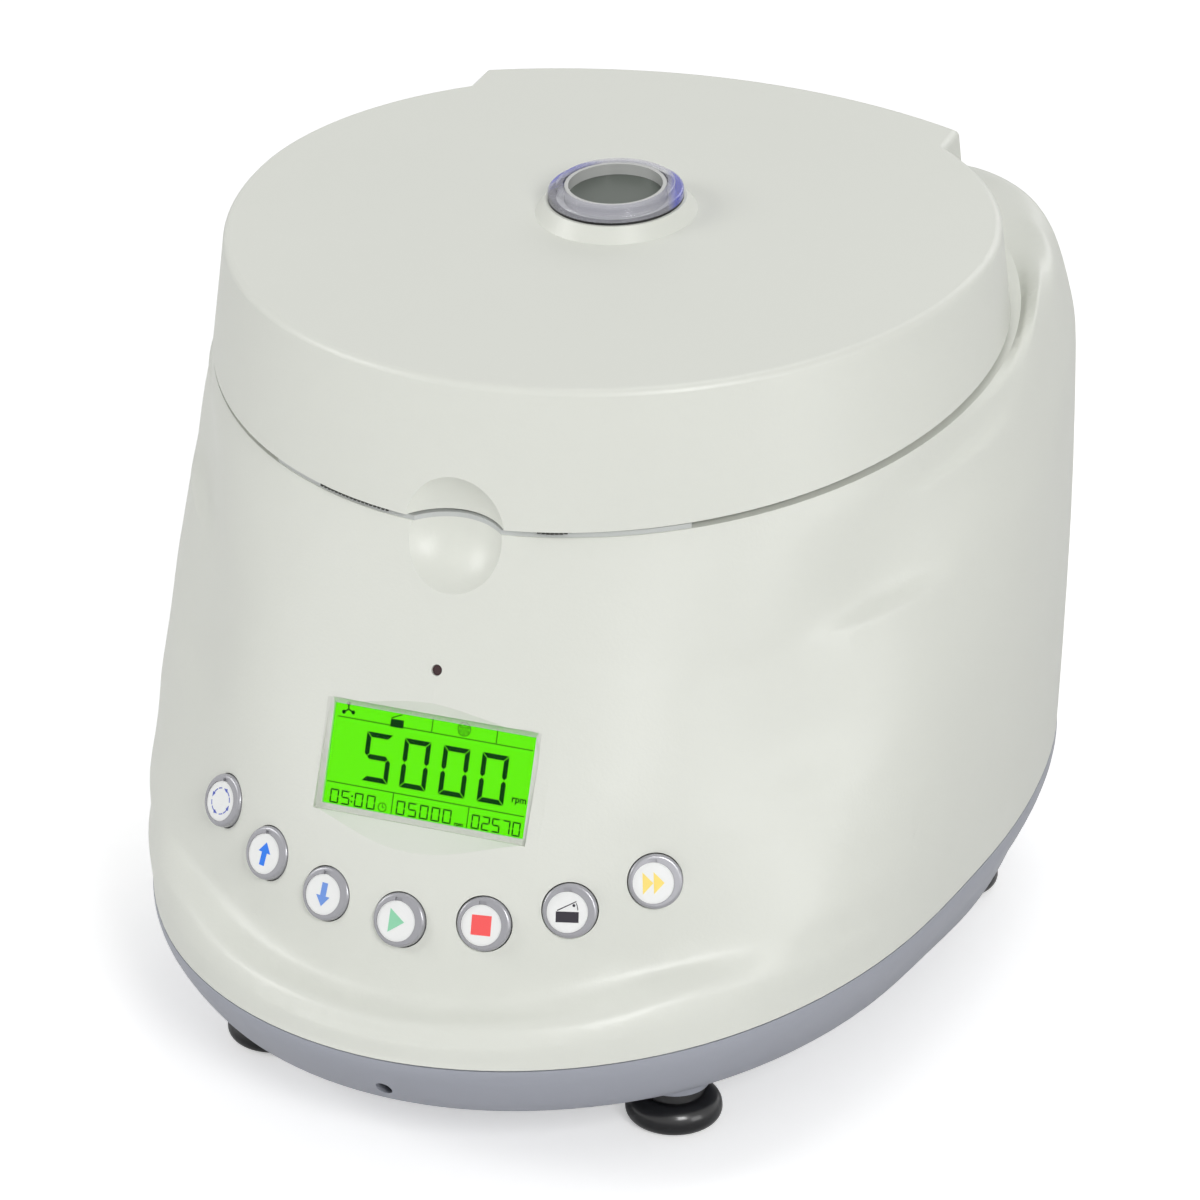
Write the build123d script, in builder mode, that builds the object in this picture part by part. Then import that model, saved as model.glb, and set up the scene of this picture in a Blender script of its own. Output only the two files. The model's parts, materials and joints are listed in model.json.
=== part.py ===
from build123d import *
import math
import os

os.makedirs("parts", exist_ok=True)

# High-speed bench centrifuge. Millimetres, +Z up, front towards -Y.
# The rotor axis is the drafting axis. AXIS_Y moves every piece so that the
# origin lies under the middle of the footprint, at the bottom of the feet.
AXIS_Y = 24.23

# Plan and side form of the body, one row per angle from the front:
# angle, seam radius, band radius, band height, ridge radius, ridge height
STATIONS = [
    (0, 190.0, 187.0, 53.5, 177.0, 56.0),
    (15, 185.5, 183.0, 56.0, 173.0, 59.0),
    (30, 174.0, 173.0, 61.0, 164.0, 68.0),
    (45, 159.0, 159.5, 72.0, 148.0, 105.0),
    (60, 145.5, 147.0, 98.0, 135.5, 155.0),
    (75, 136.5, 139.0, 134.0, 131.0, 190.0),
    (90, 135.0, 138.5, 172.0, 130.5, 212.0),
    (105, 139.0, 141.0, 192.0, 132.5, 224.0),
    (120, 148.0, 149.0, 200.0, 140.0, 228.0),
    (135, 158.0, 158.0, 202.0, 149.0, 230.0),
    (150, 158.0, 157.0, 203.0, 148.0, 231.0),
    (165, 145.5, 144.0, 204.0, 136.0, 232.0),
    (180, 141.0, 140.0, 204.0, 132.0, 232.5),
]

# Belly of the skin between ridge and rim: share of the way up, swell at the front, hollow at the sides
APRON = [(0.12, 2.4, 3.4), (0.3, 5.5, 5.4), (0.55, 2.0, 4.0), (0.8, 0.0, 1.0)]

# Seam between the tray and the housing, a plane that rises to the rear
SEAM_Z = 54.0
SEAM_SLOPE = 0.06
SEAM_GAP = 0.4

# Parting plane under the lid, steeper, and the flat lid top
RIM_Z = 215.4
RIM_SLOPE = 0.19
RIM_GAP = 2.7
LID_TOP_Z = 246.6
LID_TOP_SLOPE = 0.10
RIM_R = 127.0
LID_WALL = 3.0
LINER_LIFT = 3.0
LINER_T = 2.5
LID_TAPER = 0.12
WALL = 3.0

# Chamber and rotor
CHAMBER_R = 100.0
BOWL_WALL = 2.0
BOWL_FLOOR_Z = 114.0
BOWL_RIM_Z = 186.0
POCKETS = 12
POCKET_R = 8.5
POCKET_ANGLE = 45.0
POCKET_MOUTH_R = 50.0
POCKET_MOUTH_Z = 172.0
ROTOR_R = 95.5
ROTOR_BASE_Z = 126.0
SHAFT_R = 5.0
RUNNING_FIT = 0.05

# Motor
MOTOR_R = 42.0
MOTOR_BASE_Z = 30.0
MOTOR_MOUNT_Z = 62.0
MOUNTS = [(62.0, -36.0), (-62.0, -36.0), (0.0, 70.0)]
MOTOR_PLATE_Z = 88.0
MOTOR_PLATE_T = 4.0
MOUNT_R = 9.0

# Lid hinge
HINGE_Y = 119.0
HINGE_Z = 243.5
HINGE_PIN_R = 2.5
HINGE_EYE_R = 4.5
ARM_X = 39.0
ARM_T = 12.0
ARM_GAP = 0.5
CHEEK_T = 4.5
ARM_LOW_Z = 241.4

# Front panel
APRON_LEAN = 20.7
LCD_Z = 121.4
LCD_W = 68.5
LCD_H = 33.5
LCD_DEPTH = 3.4
LCD_GLASS = 2.0
LCD_REAR = -7.0
BUTTON_R = 8.2
BUTTON_CLEARANCE = 0.3
BUTTON_TRAVEL = 1.2
BUTTON_PROUD = 2.2
DISC_SHIFT = (-0.7, -0.5)
BUTTON_LEAN = 22.0
# Each button: name, angle round the axis, height, angle its face turns to the side
BUTTONS = [
    ("wake", -26.2, 93.2, -26.0),
    ("up", -17.3, 86.2, -18.0),
    ("down", -8.7, 81.5, -9.5),
    ("start", 0.0, 79.7, 0.0),
    ("stop", 8.7, 81.5, 9.5),
    ("open", 17.3, 86.2, 18.0),
    ("spin", 26.2, 93.2, 26.0),
]
KEYPAD_AXIS_Y = -73.4
KEYPAD_R = 99.5
KEYPAD_BACK = 17.0
INDICATOR_Z = 149.3
LIGHT_PIPE_R = 1.6

# Lens in the lid
LENS_BOSS_R = 25.0
LENS_R = 21.3
LENS_RAISE = 4.6
LENS_HOLE_R = 16.4
SIGHT_R = 16.0
PANE_DEPTH = 3.6
TUNNEL_L = 37.0
LID_SCREWS = [(-86.0, -36.0), (86.0, -36.0), (-70.0, 56.0), (70.0, 56.0)]

# Finger dimple across the parting line
DIMPLE_R = 21.0
DIMPLE_Y = -141.5
DIMPLE_Z = 190.0

# Latch
LATCH_Y = -109.0
BOLT_TRAVEL = 9.0
BOLT_H = 4.0
BOLT_Z = 182.8
CATCH_LOW_Z = 178.0

# Tray and feet: shrink inside the seam, height on the axis and slope of each level
TRAY_LEVELS = [
    (0.0, SEAM_Z - SEAM_GAP, SEAM_SLOPE),
    (2.5, 43.0, 0.055),
    (7.5, 33.0, 0.05),
    (11.5, 24.5, 0.02),
    (17.0, 20.0, 0.0),
]
PILLARS = [(-100.0, -56.0), (100.0, -56.0), (-98.0, 76.0), (98.0, 76.0)]
PILLAR_SPLIT_Z = 58.0
BOARD_Z = 34.0
BOARD_POSTS = [(-56.0, 88.0), (56.0, 88.0), (-56.0, 118.0), (56.0, 118.0)]
TRAY_FLOOR_Z = 20.0
TRAY_WALL = 3.0
FEET = [("foot_front_left", -67.7, -119.0), ("foot_front_right", 67.7, -119.0),
        ("foot_rear_left", -98.0, 62.0), ("foot_rear_right", 98.0, 62.0)]
FOOT_R = 15.0
FOOT_H = 13.0

# Rear panel
PANEL_Y = 134.0
PANEL_W = 132.0
PANEL_H = 62.0
PANEL_Z = 112.0
PANEL_T = 2.5
INLET_X = -38.0
SWITCH_X = 44.0
ROCKER_TILT = 9.0
ROCKER_Y = 132.0
ROCKER_PIN_R = 1.2
SOCKET_Z = 119.5
SOCKET_FLOOR_Y = 121.0
DRAWER_Z = 99.5


def save(piece, name):
    """Label one piece, shift it into the shared frame and write it out."""
    placed = Pos(0, AXIS_Y, 0) * piece.part
    placed.label = name
    export_step(placed, f"parts/{name}.step")


def radial_plane(angle):
    """Upright plane through the axis: local x is the radius, local y the height."""
    a = math.radians(angle)
    return Plane(origin=(0, 0, 0), x_dir=(math.sin(a), -math.cos(a), 0), z_dir=(-math.cos(a), -math.sin(a), 0))


def parting_z(y):
    """Height of the housing top under the lid rim."""
    return RIM_Z - RIM_GAP + RIM_SLOPE * y


def seam_z(y):
    """Height of the seam above the tray."""
    return SEAM_Z + SEAM_SLOPE * y


def tilted(z, slope):
    """Plane that rises to the rear with the given slope, facing up."""
    tilt = math.atan(slope)
    return Plane(origin=(0, 0, z), x_dir=(1, 0, 0), z_dir=(0, -math.sin(tilt), math.cos(tilt)))


def blend(before, corner, after, setback):
    """Three points that round one corner of a profile."""
    v = Vector(*corner)
    a = v + (Vector(*before) - v).normalized() * setback
    b = v + (Vector(*after) - v).normalized() * setback
    middle = (a + b) * 0.25 + v * 0.5
    return [(p.X, p.Y) for p in (a, middle, b)]


def apron_swell(angle, run, swell, hollow):
    """How far the skin stands out from the straight line between ridge and rim."""
    front = max(0.0, math.cos(math.radians(angle))) ** 2
    lift = max(0.0, 1.6 * front - 0.9)
    dip = min(1.0, max(0.0, 2.2 * (0.8 - front)))
    return (swell * lift - hollow * dip) * min(1.0, run / 60.0)


def outer_profile(station):
    """Points of one upright section of the body skin, from the seam to the rim."""
    angle, seam_r, band_r, band_z, ridge_r, ridge_z = station
    a = math.radians(angle)
    seam = (seam_r, seam_z(-seam_r * math.cos(a)))
    band = (band_r, band_z)
    ridge = (ridge_r, ridge_z)
    rim = (RIM_R, parting_z(-RIM_R * math.cos(a)))
    top_run = math.hypot(ridge_r - rim[0], ridge_z - rim[1])
    band_run = math.hypot(ridge_r - band_r, ridge_z - band_z)
    low_run = math.hypot(seam[0] - band_r, seam[1] - band_z)
    points = [seam]
    for t, bulge in ((0.3, 1.0), (0.62, 1.2)):
        swell = bulge * min(1.0, low_run / 60.0)
        points.append((seam[0] + t * (band[0] - seam[0]) + swell, seam[1] + t * (band[1] - seam[1])))
    points += blend(seam, band, ridge, min(8.0, 0.4 * band_run, 0.45 * low_run))
    setback = min(6.0 - 4.2 * max(0.0, math.sin(2 * a)), 0.4 * top_run, 0.4 * band_run)
    points += blend(band, ridge, rim, setback)
    start = setback / top_run
    for t, swell, hollow in APRON:
        t = max(t, start + (1 - start) * (t - 0.05))
        x = ridge[0] + t * (rim[0] - ridge[0]) + apron_swell(angle, top_run, swell, hollow)
        y = ridge[1] + t * (rim[1] - ridge[1])
        points.append((x, y))
    points.append(rim)
    return points


def inner_profile(station):
    """The same section on the inside of the wall, with its corners let go soft."""
    angle, seam_r, band_r, band_z, ridge_r, ridge_z = station
    cos_a = math.cos(math.radians(angle))
    seam = (seam_r - WALL, seam_z(-seam_r * cos_a) - 6)
    band = (band_r - WALL - 0.2, band_z - WALL)
    ridge = (ridge_r - WALL - 1.8, ridge_z - WALL - 2.2)
    rim = (RIM_R - WALL - 0.6, parting_z(-(RIM_R - WALL) * cos_a) - WALL)
    top_run = math.hypot(ridge_r - RIM_R, ridge_z - parting_z(-RIM_R * cos_a))
    t, swell, hollow = APRON[2]
    x = ridge[0] + t * (rim[0] - ridge[0]) + apron_swell(angle, top_run, swell, hollow)
    middle = (x, ridge[1] + t * (rim[1] - ridge[1]))
    side = ((seam[0] + band[0]) / 2 + 0.5, (seam[1] + band[1]) / 2)
    return [seam, side, band, ridge, middle, rim]


def mirrored_stations():
    """Stations a little past both ends, so the skin runs smoothly across the middle plane."""
    low = [(-s[0],) + s[1:] for s in (STATIONS[2], STATIONS[1])]
    high = [(360 - s[0],) + s[1:] for s in (STATIONS[-2], STATIONS[-3])]
    return low + STATIONS + high


def plan_points(shrink, slope):
    """Closed plan curve of the body, moved in from the seam, in the plane of a sloping level."""
    points = []
    rows = STATIONS + [(360 - s[0],) + s[1:] for s in STATIONS[-2:0:-1]]
    for row in rows:
        a = math.radians(row[0])
        r = row[1] - shrink - shrink * 0.35 * max(0.0, math.cos(a))
        points.append((r * math.sin(a), -r * math.cos(a) * math.hypot(1, slope)))
    return points


def lid_outline(grow):
    """Round front, shallower rear and the square-shouldered tail."""
    r = 122.0 + grow
    rear = 105.0 + grow
    shoulder = 91.0 + grow
    turn = 47.0
    with BuildLine() as outline:
        ThreePointArc((-r, 0), (0, -r), (r, 0))
        side = EllipticalCenterArc((0, 0), r, rear, start_angle=0, arc_size=turn)
        x = (side @ 1).X
        Line(side @ 1, (x, shoulder))
        ThreePointArc((x, shoulder), (0, 109.0 + grow), (-x, shoulder))
        Line((-x, shoulder), (-x, (side @ 1).Y))
        EllipticalCenterArc((0, 0), r, rear, start_angle=180 - turn, arc_size=turn)
    return outline


def lid_form(shrink):
    """Tapered solid of the lid, every side moved in by shrink."""
    low_z = 185.0
    high_z = 264.0
    with BuildPart(mode=Mode.PRIVATE) as form:
        for z in (low_z, high_z):
            with BuildSketch(Plane.XY.offset(z)):
                add(lid_outline(LID_TAPER * (LID_TOP_Z - z) - shrink).line)
                make_face()
        loft(ruled=True)
        split(bisect_by=tilted(LID_TOP_Z - shrink, LID_TOP_SLOPE), keep=Keep.BOTTOM)
        split(bisect_by=tilted(RIM_Z, RIM_SLOPE), keep=Keep.TOP)
    return form.part


def tilted_ring(inner_r, outer_r, low, high):
    """Upright-walled ring between two levels measured from the housing's top plane."""
    with BuildPart(mode=Mode.PRIVATE) as ring:
        with BuildSketch(Plane.XY.offset(150)):
            Circle(outer_r)
            if inner_r > 0:
                Circle(inner_r, mode=Mode.SUBTRACT)
        extrude(amount=150)
        split(bisect_by=tilted(RIM_Z - RIM_GAP + low, RIM_SLOPE), keep=Keep.TOP)
        split(bisect_by=tilted(RIM_Z - RIM_GAP + high, RIM_SLOPE), keep=Keep.BOTTOM)
    return ring.part


def slab(x0, x1, y0, y1, z0, z1):
    """Plain box between two corners."""
    box = Box(x1 - x0, y1 - y0, z1 - z0, mode=Mode.PRIVATE)
    return Pos((x0 + x1) / 2, (y0 + y1) / 2, (z0 + z1) / 2) * box


def rod(x, y, z0, z1, r):
    """Upright round bar."""
    return Pos(x, y, (z0 + z1) / 2) * Cylinder(r, z1 - z0, mode=Mode.PRIVATE)


def cross_rod(x0, x1, y, z, r):
    """Round bar that runs from side to side."""
    return Pos((x0 + x1) / 2, y, z) * Rot(0, 90, 0) * Cylinder(r, x1 - x0, mode=Mode.PRIVATE)


def box_on(plane, w, h, z0, z1):
    """Box centred on a plane, between two heights above it."""
    return plane.location * Pos(0, 0, (z0 + z1) / 2) * Box(w, h, z1 - z0, mode=Mode.PRIVATE)


def bar_on(plane, r, z0, z1):
    """Round bar square to a plane, between two heights above it."""
    return plane.location * Pos(0, 0, (z0 + z1) / 2) * Cylinder(r, z1 - z0, mode=Mode.PRIVATE)


def apron_radius(angle, z):
    """Radius of the body skin above the ridge, at an angle and a height."""
    angle = abs(angle)
    i = int(angle // 15)
    t = angle / 15 - i
    row = [a + t * (b - a) for a, b in zip(STATIONS[i], STATIONS[i + 1])]
    points = outer_profile(row)[8:]
    for p, q in zip(points, points[1:]):
        if p[1] <= z <= q[1]:
            return p[0] + (z - p[1]) / (q[1] - p[1]) * (q[0] - p[0])
    return points[-1][0]


def face_plane(angle, z, turn, lean):
    """Plane on the apron whose normal turns to the side and leans back."""
    r = apron_radius(angle, z)
    a = math.radians(angle)
    b = math.radians(turn)
    c = math.radians(lean)
    return Plane(
        origin=(r * math.sin(a), -r * math.cos(a), z),
        x_dir=(math.cos(b), math.sin(b), 0),
        z_dir=(math.sin(b) * math.cos(c), -math.cos(b) * math.cos(c), math.sin(c)),
    )


# Body skin as a thick ring block, and the room inside it
with BuildPart() as skin_half:
    for station in mirrored_stations():
        outer = outer_profile(station)
        y = -60 * math.cos(math.radians(station[0]))
        with BuildSketch(radial_plane(station[0])):
            with BuildLine():
                Spline(*outer)
                Line(outer[-1], (60, parting_z(y)))
                Line((60, parting_z(y)), (60, seam_z(y)))
                Line((60, seam_z(y)), outer[0])
            make_face()
    loft()
    split(bisect_by=Plane.YZ, keep=Keep.TOP)
    mirror(about=Plane.YZ)

with BuildPart() as room_half:
    for station in mirrored_stations():
        a = math.radians(station[0])
        inner = inner_profile(station)
        low_z = seam_z(-58 * math.cos(a)) - 6.0
        top_z = parting_z(-58 * math.cos(a)) - WALL
        with BuildSketch(radial_plane(station[0])):
            with BuildLine():
                Spline(*inner[:4])
                Spline(*inner[3:])
                Line(inner[-1], (58, top_z))
                Line((58, top_z), (58, low_z))
                Line((58, low_z), inner[0])
            make_face()
    loft()
    split(bisect_by=Plane.YZ, keep=Keep.TOP)
    mirror(about=Plane.YZ)


# Main housing
chamber_collar = tilted_ring(CHAMBER_R, CHAMBER_R + 3, -60, 0) - slab(-130, 130, -130, 130, 100, BOWL_RIM_Z)
under_deck = tilted_ring(0, RIM_R + 20, -60, 0)
lcd_plane = face_plane(0, LCD_Z, 0, APRON_LEAN)
dimple = Pos(0, DIMPLE_Y, DIMPLE_Z) * Sphere(DIMPLE_R)
dimple_back = Pos(0, DIMPLE_Y, DIMPLE_Z) * Sphere(DIMPLE_R + WALL)

# shallow scoops above and below the display
with BuildPart() as scoop:
    with BuildSketch(lcd_plane.offset(2)):
        with BuildLine():
            w = LCD_W / 2 + 1.4
            h = LCD_H / 2 + 3.0
            Line((-w, -h), (-w, h))
            ThreePointArc((-w, h), (0, h + 5.6), (w, h))
            Line((w, h), (w, -h))
            ThreePointArc((w, -h), (0, -h - 5.0), (-w, -h))
        make_face()
    with BuildSketch(lcd_plane.offset(-LCD_DEPTH)):
        with BuildLine():
            w = LCD_W / 2
            h = LCD_H / 2
            Line((-w, -h), (-w, h))
            ThreePointArc((-w, h), (0, h + 0.3), (w, h))
            Line((w, h), (w, -h))
            ThreePointArc((w, -h), (0, -h - 0.3), (-w, -h))
        make_face()
    loft(ruled=True)

# seats behind the display, the buttons, the light pipe, the dimple and the rear panel
with BuildPart() as seats:
    add(box_on(lcd_plane, LCD_W + 8, LCD_H + 8, -18, 3))
    for name, angle, z, turn in BUTTONS:
        add(bar_on(face_plane(angle, z, turn, BUTTON_LEAN), BUTTON_R + 2.6, -9, 5))
    add(bar_on(face_plane(0, INDICATOR_Z, 0, APRON_LEAN), 4.5, -10, 5))
    add(dimple_back & under_deck)
    add(slab(-PANEL_W / 2 - 4, PANEL_W / 2 + 4, 129, 150, PANEL_Z - 35, PANEL_Z + 35))
    for x, y in PILLARS:
        add(Pos(x, y, 77) * Rot(0, 0, math.degrees(math.atan2(y, x))) * slab(0, 50, -2, 2, -19, 19))
    add(skin_half.part, mode=Mode.INTERSECT)

cutters = [dimple, scoop.part, rod(0, 0, BOWL_RIM_Z - 40, 300, CHAMBER_R)]
cutters.append(slab(-PANEL_W / 2 - 0.3, PANEL_W / 2 + 0.3, PANEL_Y, 160, PANEL_Z - 31.3, PANEL_Z + 31.3))
cutters.append(slab(-PANEL_W / 2 + 4, PANEL_W / 2 - 4, 120, 160, PANEL_Z - 27, PANEL_Z + 27))
for name, angle, z, turn in BUTTONS:
    cutters.append(bar_on(face_plane(angle, z, turn, BUTTON_LEAN), BUTTON_R + BUTTON_CLEARANCE, -20, 20))
cutters.append(bar_on(face_plane(0, INDICATOR_Z, 0, APRON_LEAN), LIGHT_PIPE_R + 0.1, -20, 20))
cutters.append(box_on(lcd_plane, LCD_W + 0.4, LCD_H + 0.4, -LCD_DEPTH - LCD_GLASS, 5))
cutters.append(box_on(lcd_plane, LCD_W - 3, LCD_H - 3, -20, 0))
cutters.append(box_on(lcd_plane, LCD_W + 4, LCD_H + 4, -20, LCD_REAR))
cutters.append(slab(-3.2, 3.2, LATCH_Y - 7.5, LATCH_Y + 4, 176, 215))

with BuildPart() as main_housing:
    add(skin_half.part)
    add(room_half.part, mode=Mode.SUBTRACT)
    pillars = [rod(x, y, PILLAR_SPLIT_Z, 96, 6) for x, y in PILLARS]
    add([chamber_collar, seats.part] + pillars)
    add(cutters, mode=Mode.SUBTRACT)
save(main_housing, "main_housing")

# Light grey strip in the parting gap at the front
wedge = extrude(Polygon((0, 0), (-100, -160), (100, -160), align=None), 300)
with BuildPart() as rim_strip:
    add(tilted_ring(RIM_R - 8, RIM_R - 0.4, 0, 1.5) & wedge)
    add(dimple, mode=Mode.SUBTRACT)
save(rim_strip, "rim_strip")

# Lower tray
with BuildPart() as tray_outer:
    for shrink, z, slope in TRAY_LEVELS:
        with BuildSketch(tilted(z, slope)):
            with BuildLine():
                Spline(*plan_points(shrink, slope), periodic=True)
            make_face()
    loft()
with BuildPart() as tray_room:
    for shrink, z, slope in [(0.0, 80.0, SEAM_SLOPE)] + TRAY_LEVELS:
        rise = TRAY_WALL if slope == 0 else 0.0
        with BuildSketch(tilted(z + rise, slope)):
            with BuildLine():
                Spline(*plan_points(shrink + TRAY_WALL, slope), periodic=True)
            make_face()
    loft()
tray_posts = [rod(x, y, TRAY_FLOOR_Z + 1, PILLAR_SPLIT_Z, 6) for x, y in PILLARS]
tray_posts += [rod(x, y, TRAY_FLOOR_Z + 1, MOTOR_MOUNT_Z, MOUNT_R + 2) for x, y in MOUNTS]
tray_posts += [rod(x, y, TRAY_FLOOR_Z + 1, BOARD_Z, 4) for x, y in BOARD_POSTS]
tray_posts += [rod(x, y, FOOT_H, TRAY_FLOOR_Z + 1, 11) for name, x, y in FEET]
tray_holes = [Pos(0, -170, 29.6) * Rot(90, 0, 0) * Cylinder(2.6, 50)]
for row in range(5):
    tray_holes.append(slab(-34, 34, 84 + 9 * row, 88 + 9 * row, 10, 26))
with BuildPart() as base_tray:
    add(tray_outer.part)
    add(tray_room.part, mode=Mode.SUBTRACT)
    add(tray_posts)
    add(tray_holes, mode=Mode.SUBTRACT)
save(base_tray, "base_tray")

# Rubber feet
for name, x, y in FEET:
    with BuildPart() as foot:
        with BuildSketch(Plane.XZ):
            with BuildLine():
                Line((0, 0), (FOOT_R - 4, 0))
                ThreePointArc((FOOT_R - 4, 0), (FOOT_R - 1.2, 1.2), (FOOT_R, 4.5))
                ThreePointArc((FOOT_R, 4.5), (FOOT_R - 1.6, 8.2), (FOOT_R - 5.5, 9.6))
                Line((FOOT_R - 5.5, 9.6), (9, FOOT_H))
                Line((9, FOOT_H), (0, FOOT_H))
                Line((0, FOOT_H), (0, 0))
            make_face()
        revolve(axis=Axis.Z)
    foot.part = Pos(x, y, 0) * foot.part
    save(foot, name)

# Chamber bowl, hung from its rim under the collar
with BuildPart() as chamber_bowl:
    with BuildSketch(Plane.XZ):
        with BuildLine():
            r = CHAMBER_R - BOWL_WALL
            z = BOWL_FLOOR_Z
            Polyline((16, z), (r - 10, z))
            ThreePointArc((r - 10, z), (r - 2.93, z + 2.93), (r, z + 10))
            Polyline((r, z + 10), (r, BOWL_RIM_Z), (CHAMBER_R + 10, BOWL_RIM_Z), (CHAMBER_R + 10, BOWL_RIM_Z - 2))
            Polyline((CHAMBER_R + 10, BOWL_RIM_Z - 2), (CHAMBER_R, BOWL_RIM_Z - 2), (CHAMBER_R, z + 9))
            ThreePointArc((CHAMBER_R, z + 9), (CHAMBER_R - 3.3, z + 1.2), (r - 9, z - BOWL_WALL))
            Polyline((r - 9, z - BOWL_WALL), (16, z - BOWL_WALL), (16, z))
        make_face()
    revolve(axis=Axis.Z)
    add(slab(-57, 41, -130, -103.4, 180, 190), mode=Mode.SUBTRACT)
save(chamber_bowl, "chamber_bowl")

# Seal ring on the housing top round the chamber
with BuildPart() as chamber_seal:
    add(tilted_ring(CHAMBER_R + 1, CHAMBER_R + 4, 0, 2.2))
    add(tilted_ring(CHAMBER_R + 1.6, CHAMBER_R + 3.4, 2, LINER_LIFT + RIM_GAP - 0.3))
    add(slab(-4, 4, -120, -103.6, 150, 260), mode=Mode.SUBTRACT)
save(chamber_seal, "chamber_seal")

# Motor, its plate and its rubber mounts
with BuildPart() as motor_plate:
    with BuildSketch(Plane.XY.offset(MOTOR_PLATE_Z)):
        Circle(50)
        with Locations(*MOUNTS):
            Circle(MOUNT_R + 4)
        make_hull()
        Circle(20, mode=Mode.SUBTRACT)
        with PolarLocations(33, 4, start_angle=45):
            Circle(2.2, mode=Mode.SUBTRACT)
    extrude(amount=MOTOR_PLATE_T)
save(motor_plate, "motor_plate")

for name, (x, y) in zip(("motor_mount_right", "motor_mount_left", "motor_mount_rear"), MOUNTS):
    with BuildPart() as motor_mount:
        add(rod(x, y, MOTOR_MOUNT_Z, MOTOR_PLATE_Z, MOUNT_R))
        waist_z = (MOTOR_MOUNT_Z + MOTOR_PLATE_Z) / 2
        add(Pos(x, y, waist_z) * Torus(MOUNT_R + 3, 5.5, mode=Mode.PRIVATE), mode=Mode.SUBTRACT)
    save(motor_mount, name)

with BuildPart() as motor_can:
    with BuildSketch(Plane.XY.offset(MOTOR_BASE_Z)):
        Circle(MOTOR_R)
    extrude(amount=MOTOR_PLATE_Z - MOTOR_BASE_Z)
    fillet(motor_can.edges().filter_by(GeomType.CIRCLE).sort_by(Axis.Z)[0], 4)
    with BuildSketch(Plane.XY.offset(MOTOR_PLATE_Z)):
        Circle(19.5)
    extrude(amount=MOTOR_PLATE_T + 4)
    with Locations((0, 0, 0)):
        add(rod(0, 0, MOTOR_BASE_Z + 8, 140, SHAFT_R + RUNNING_FIT), mode=Mode.SUBTRACT)
    with PolarLocations(MOTOR_R, 8):
        add(slab(-3, 3, -3, 3, MOTOR_BASE_Z + 10, MOTOR_BASE_Z + 26), mode=Mode.SUBTRACT)
save(motor_can, "motor_can")

with BuildPart() as shaft_boot:
    with BuildSketch(Plane.XZ):
        with BuildLine():
            top = BOWL_FLOOR_Z - BOWL_WALL
            low = MOTOR_PLATE_Z + MOTOR_PLATE_T
            mid = (top + low) / 2
            Polyline((22, low), (26, low), (26, low + 3), (24, mid), (26, top - 3), (26, top), (22, top))
            Polyline((22, top), (22, top - 3), (20.5, mid), (22, low + 3), (22, low))
        make_face()
    revolve(axis=Axis.Z)
save(shaft_boot, "shaft_boot")

# Rotor body: shaft, fixed-angle rotor and its nut
with BuildPart() as drive_shaft:
    add(rod(0, 0, MOTOR_BASE_Z + 10, 150, SHAFT_R))
    add(rod(0, 0, 150, 178, 3))
    add(rod(0, 0, 116, ROTOR_BASE_Z + 2, 9))
save(drive_shaft, "drive_shaft")

with BuildPart() as rotor:
    with BuildSketch(Plane.XZ):
        lean = POCKET_MOUTH_R + POCKET_MOUTH_Z
        cap = lean + math.sqrt(2) * (POCKET_R + 3.5)
        with BuildLine():
            Polyline(
                (SHAFT_R + RUNNING_FIT, ROTOR_BASE_Z + 2),
                (24, ROTOR_BASE_Z + 2),
                (24, 146),
                (58, 146),
                (78, ROTOR_BASE_Z),
                (90, ROTOR_BASE_Z),
                (ROTOR_R, ROTOR_BASE_Z + 5),
                (ROTOR_R, cap - ROTOR_R),
                ((cap - 122) / 2, (cap + 122) / 2),
                (32, 154),
                (22, 154),
                (20, 164),
                (SHAFT_R + RUNNING_FIT, 164),
                close=True,
            )
        make_face()
    revolve(axis=Axis.Z)
    pocket_run = 47.5
    pocket = Cylinder(POCKET_R, pocket_run + 12, align=(Align.CENTER, Align.CENTER, Align.MAX), mode=Mode.PRIVATE)
    pocket = Pos(0, 0, 12) * pocket + Pos(0, 0, -pocket_run) * Sphere(POCKET_R, mode=Mode.PRIVATE)
    pocket = Pos(POCKET_MOUTH_R, 0, POCKET_MOUTH_Z) * Rot(0, -POCKET_ANGLE, 0) * pocket
    holes = [Rot(0, 0, 360 / POCKETS * i) * pocket for i in range(POCKETS)]
    add(holes, mode=Mode.SUBTRACT)
save(rotor, "rotor")

with BuildPart() as rotor_nut:
    add(rod(0, 0, 164, 170, 12))
    add(rod(0, 0, 170, 184, 15))
    fillet(rotor_nut.edges().filter_by(GeomType.CIRCLE).sort_by(Axis.Z)[-1], 2)
    with PolarLocations(17.5, 8):
        add(rod(0, 0, 168, 190, 4), mode=Mode.SUBTRACT)
    add(rod(0, 0, 160, 179, 3 + RUNNING_FIT), mode=Mode.SUBTRACT)
save(rotor_nut, "rotor_nut")

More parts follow.
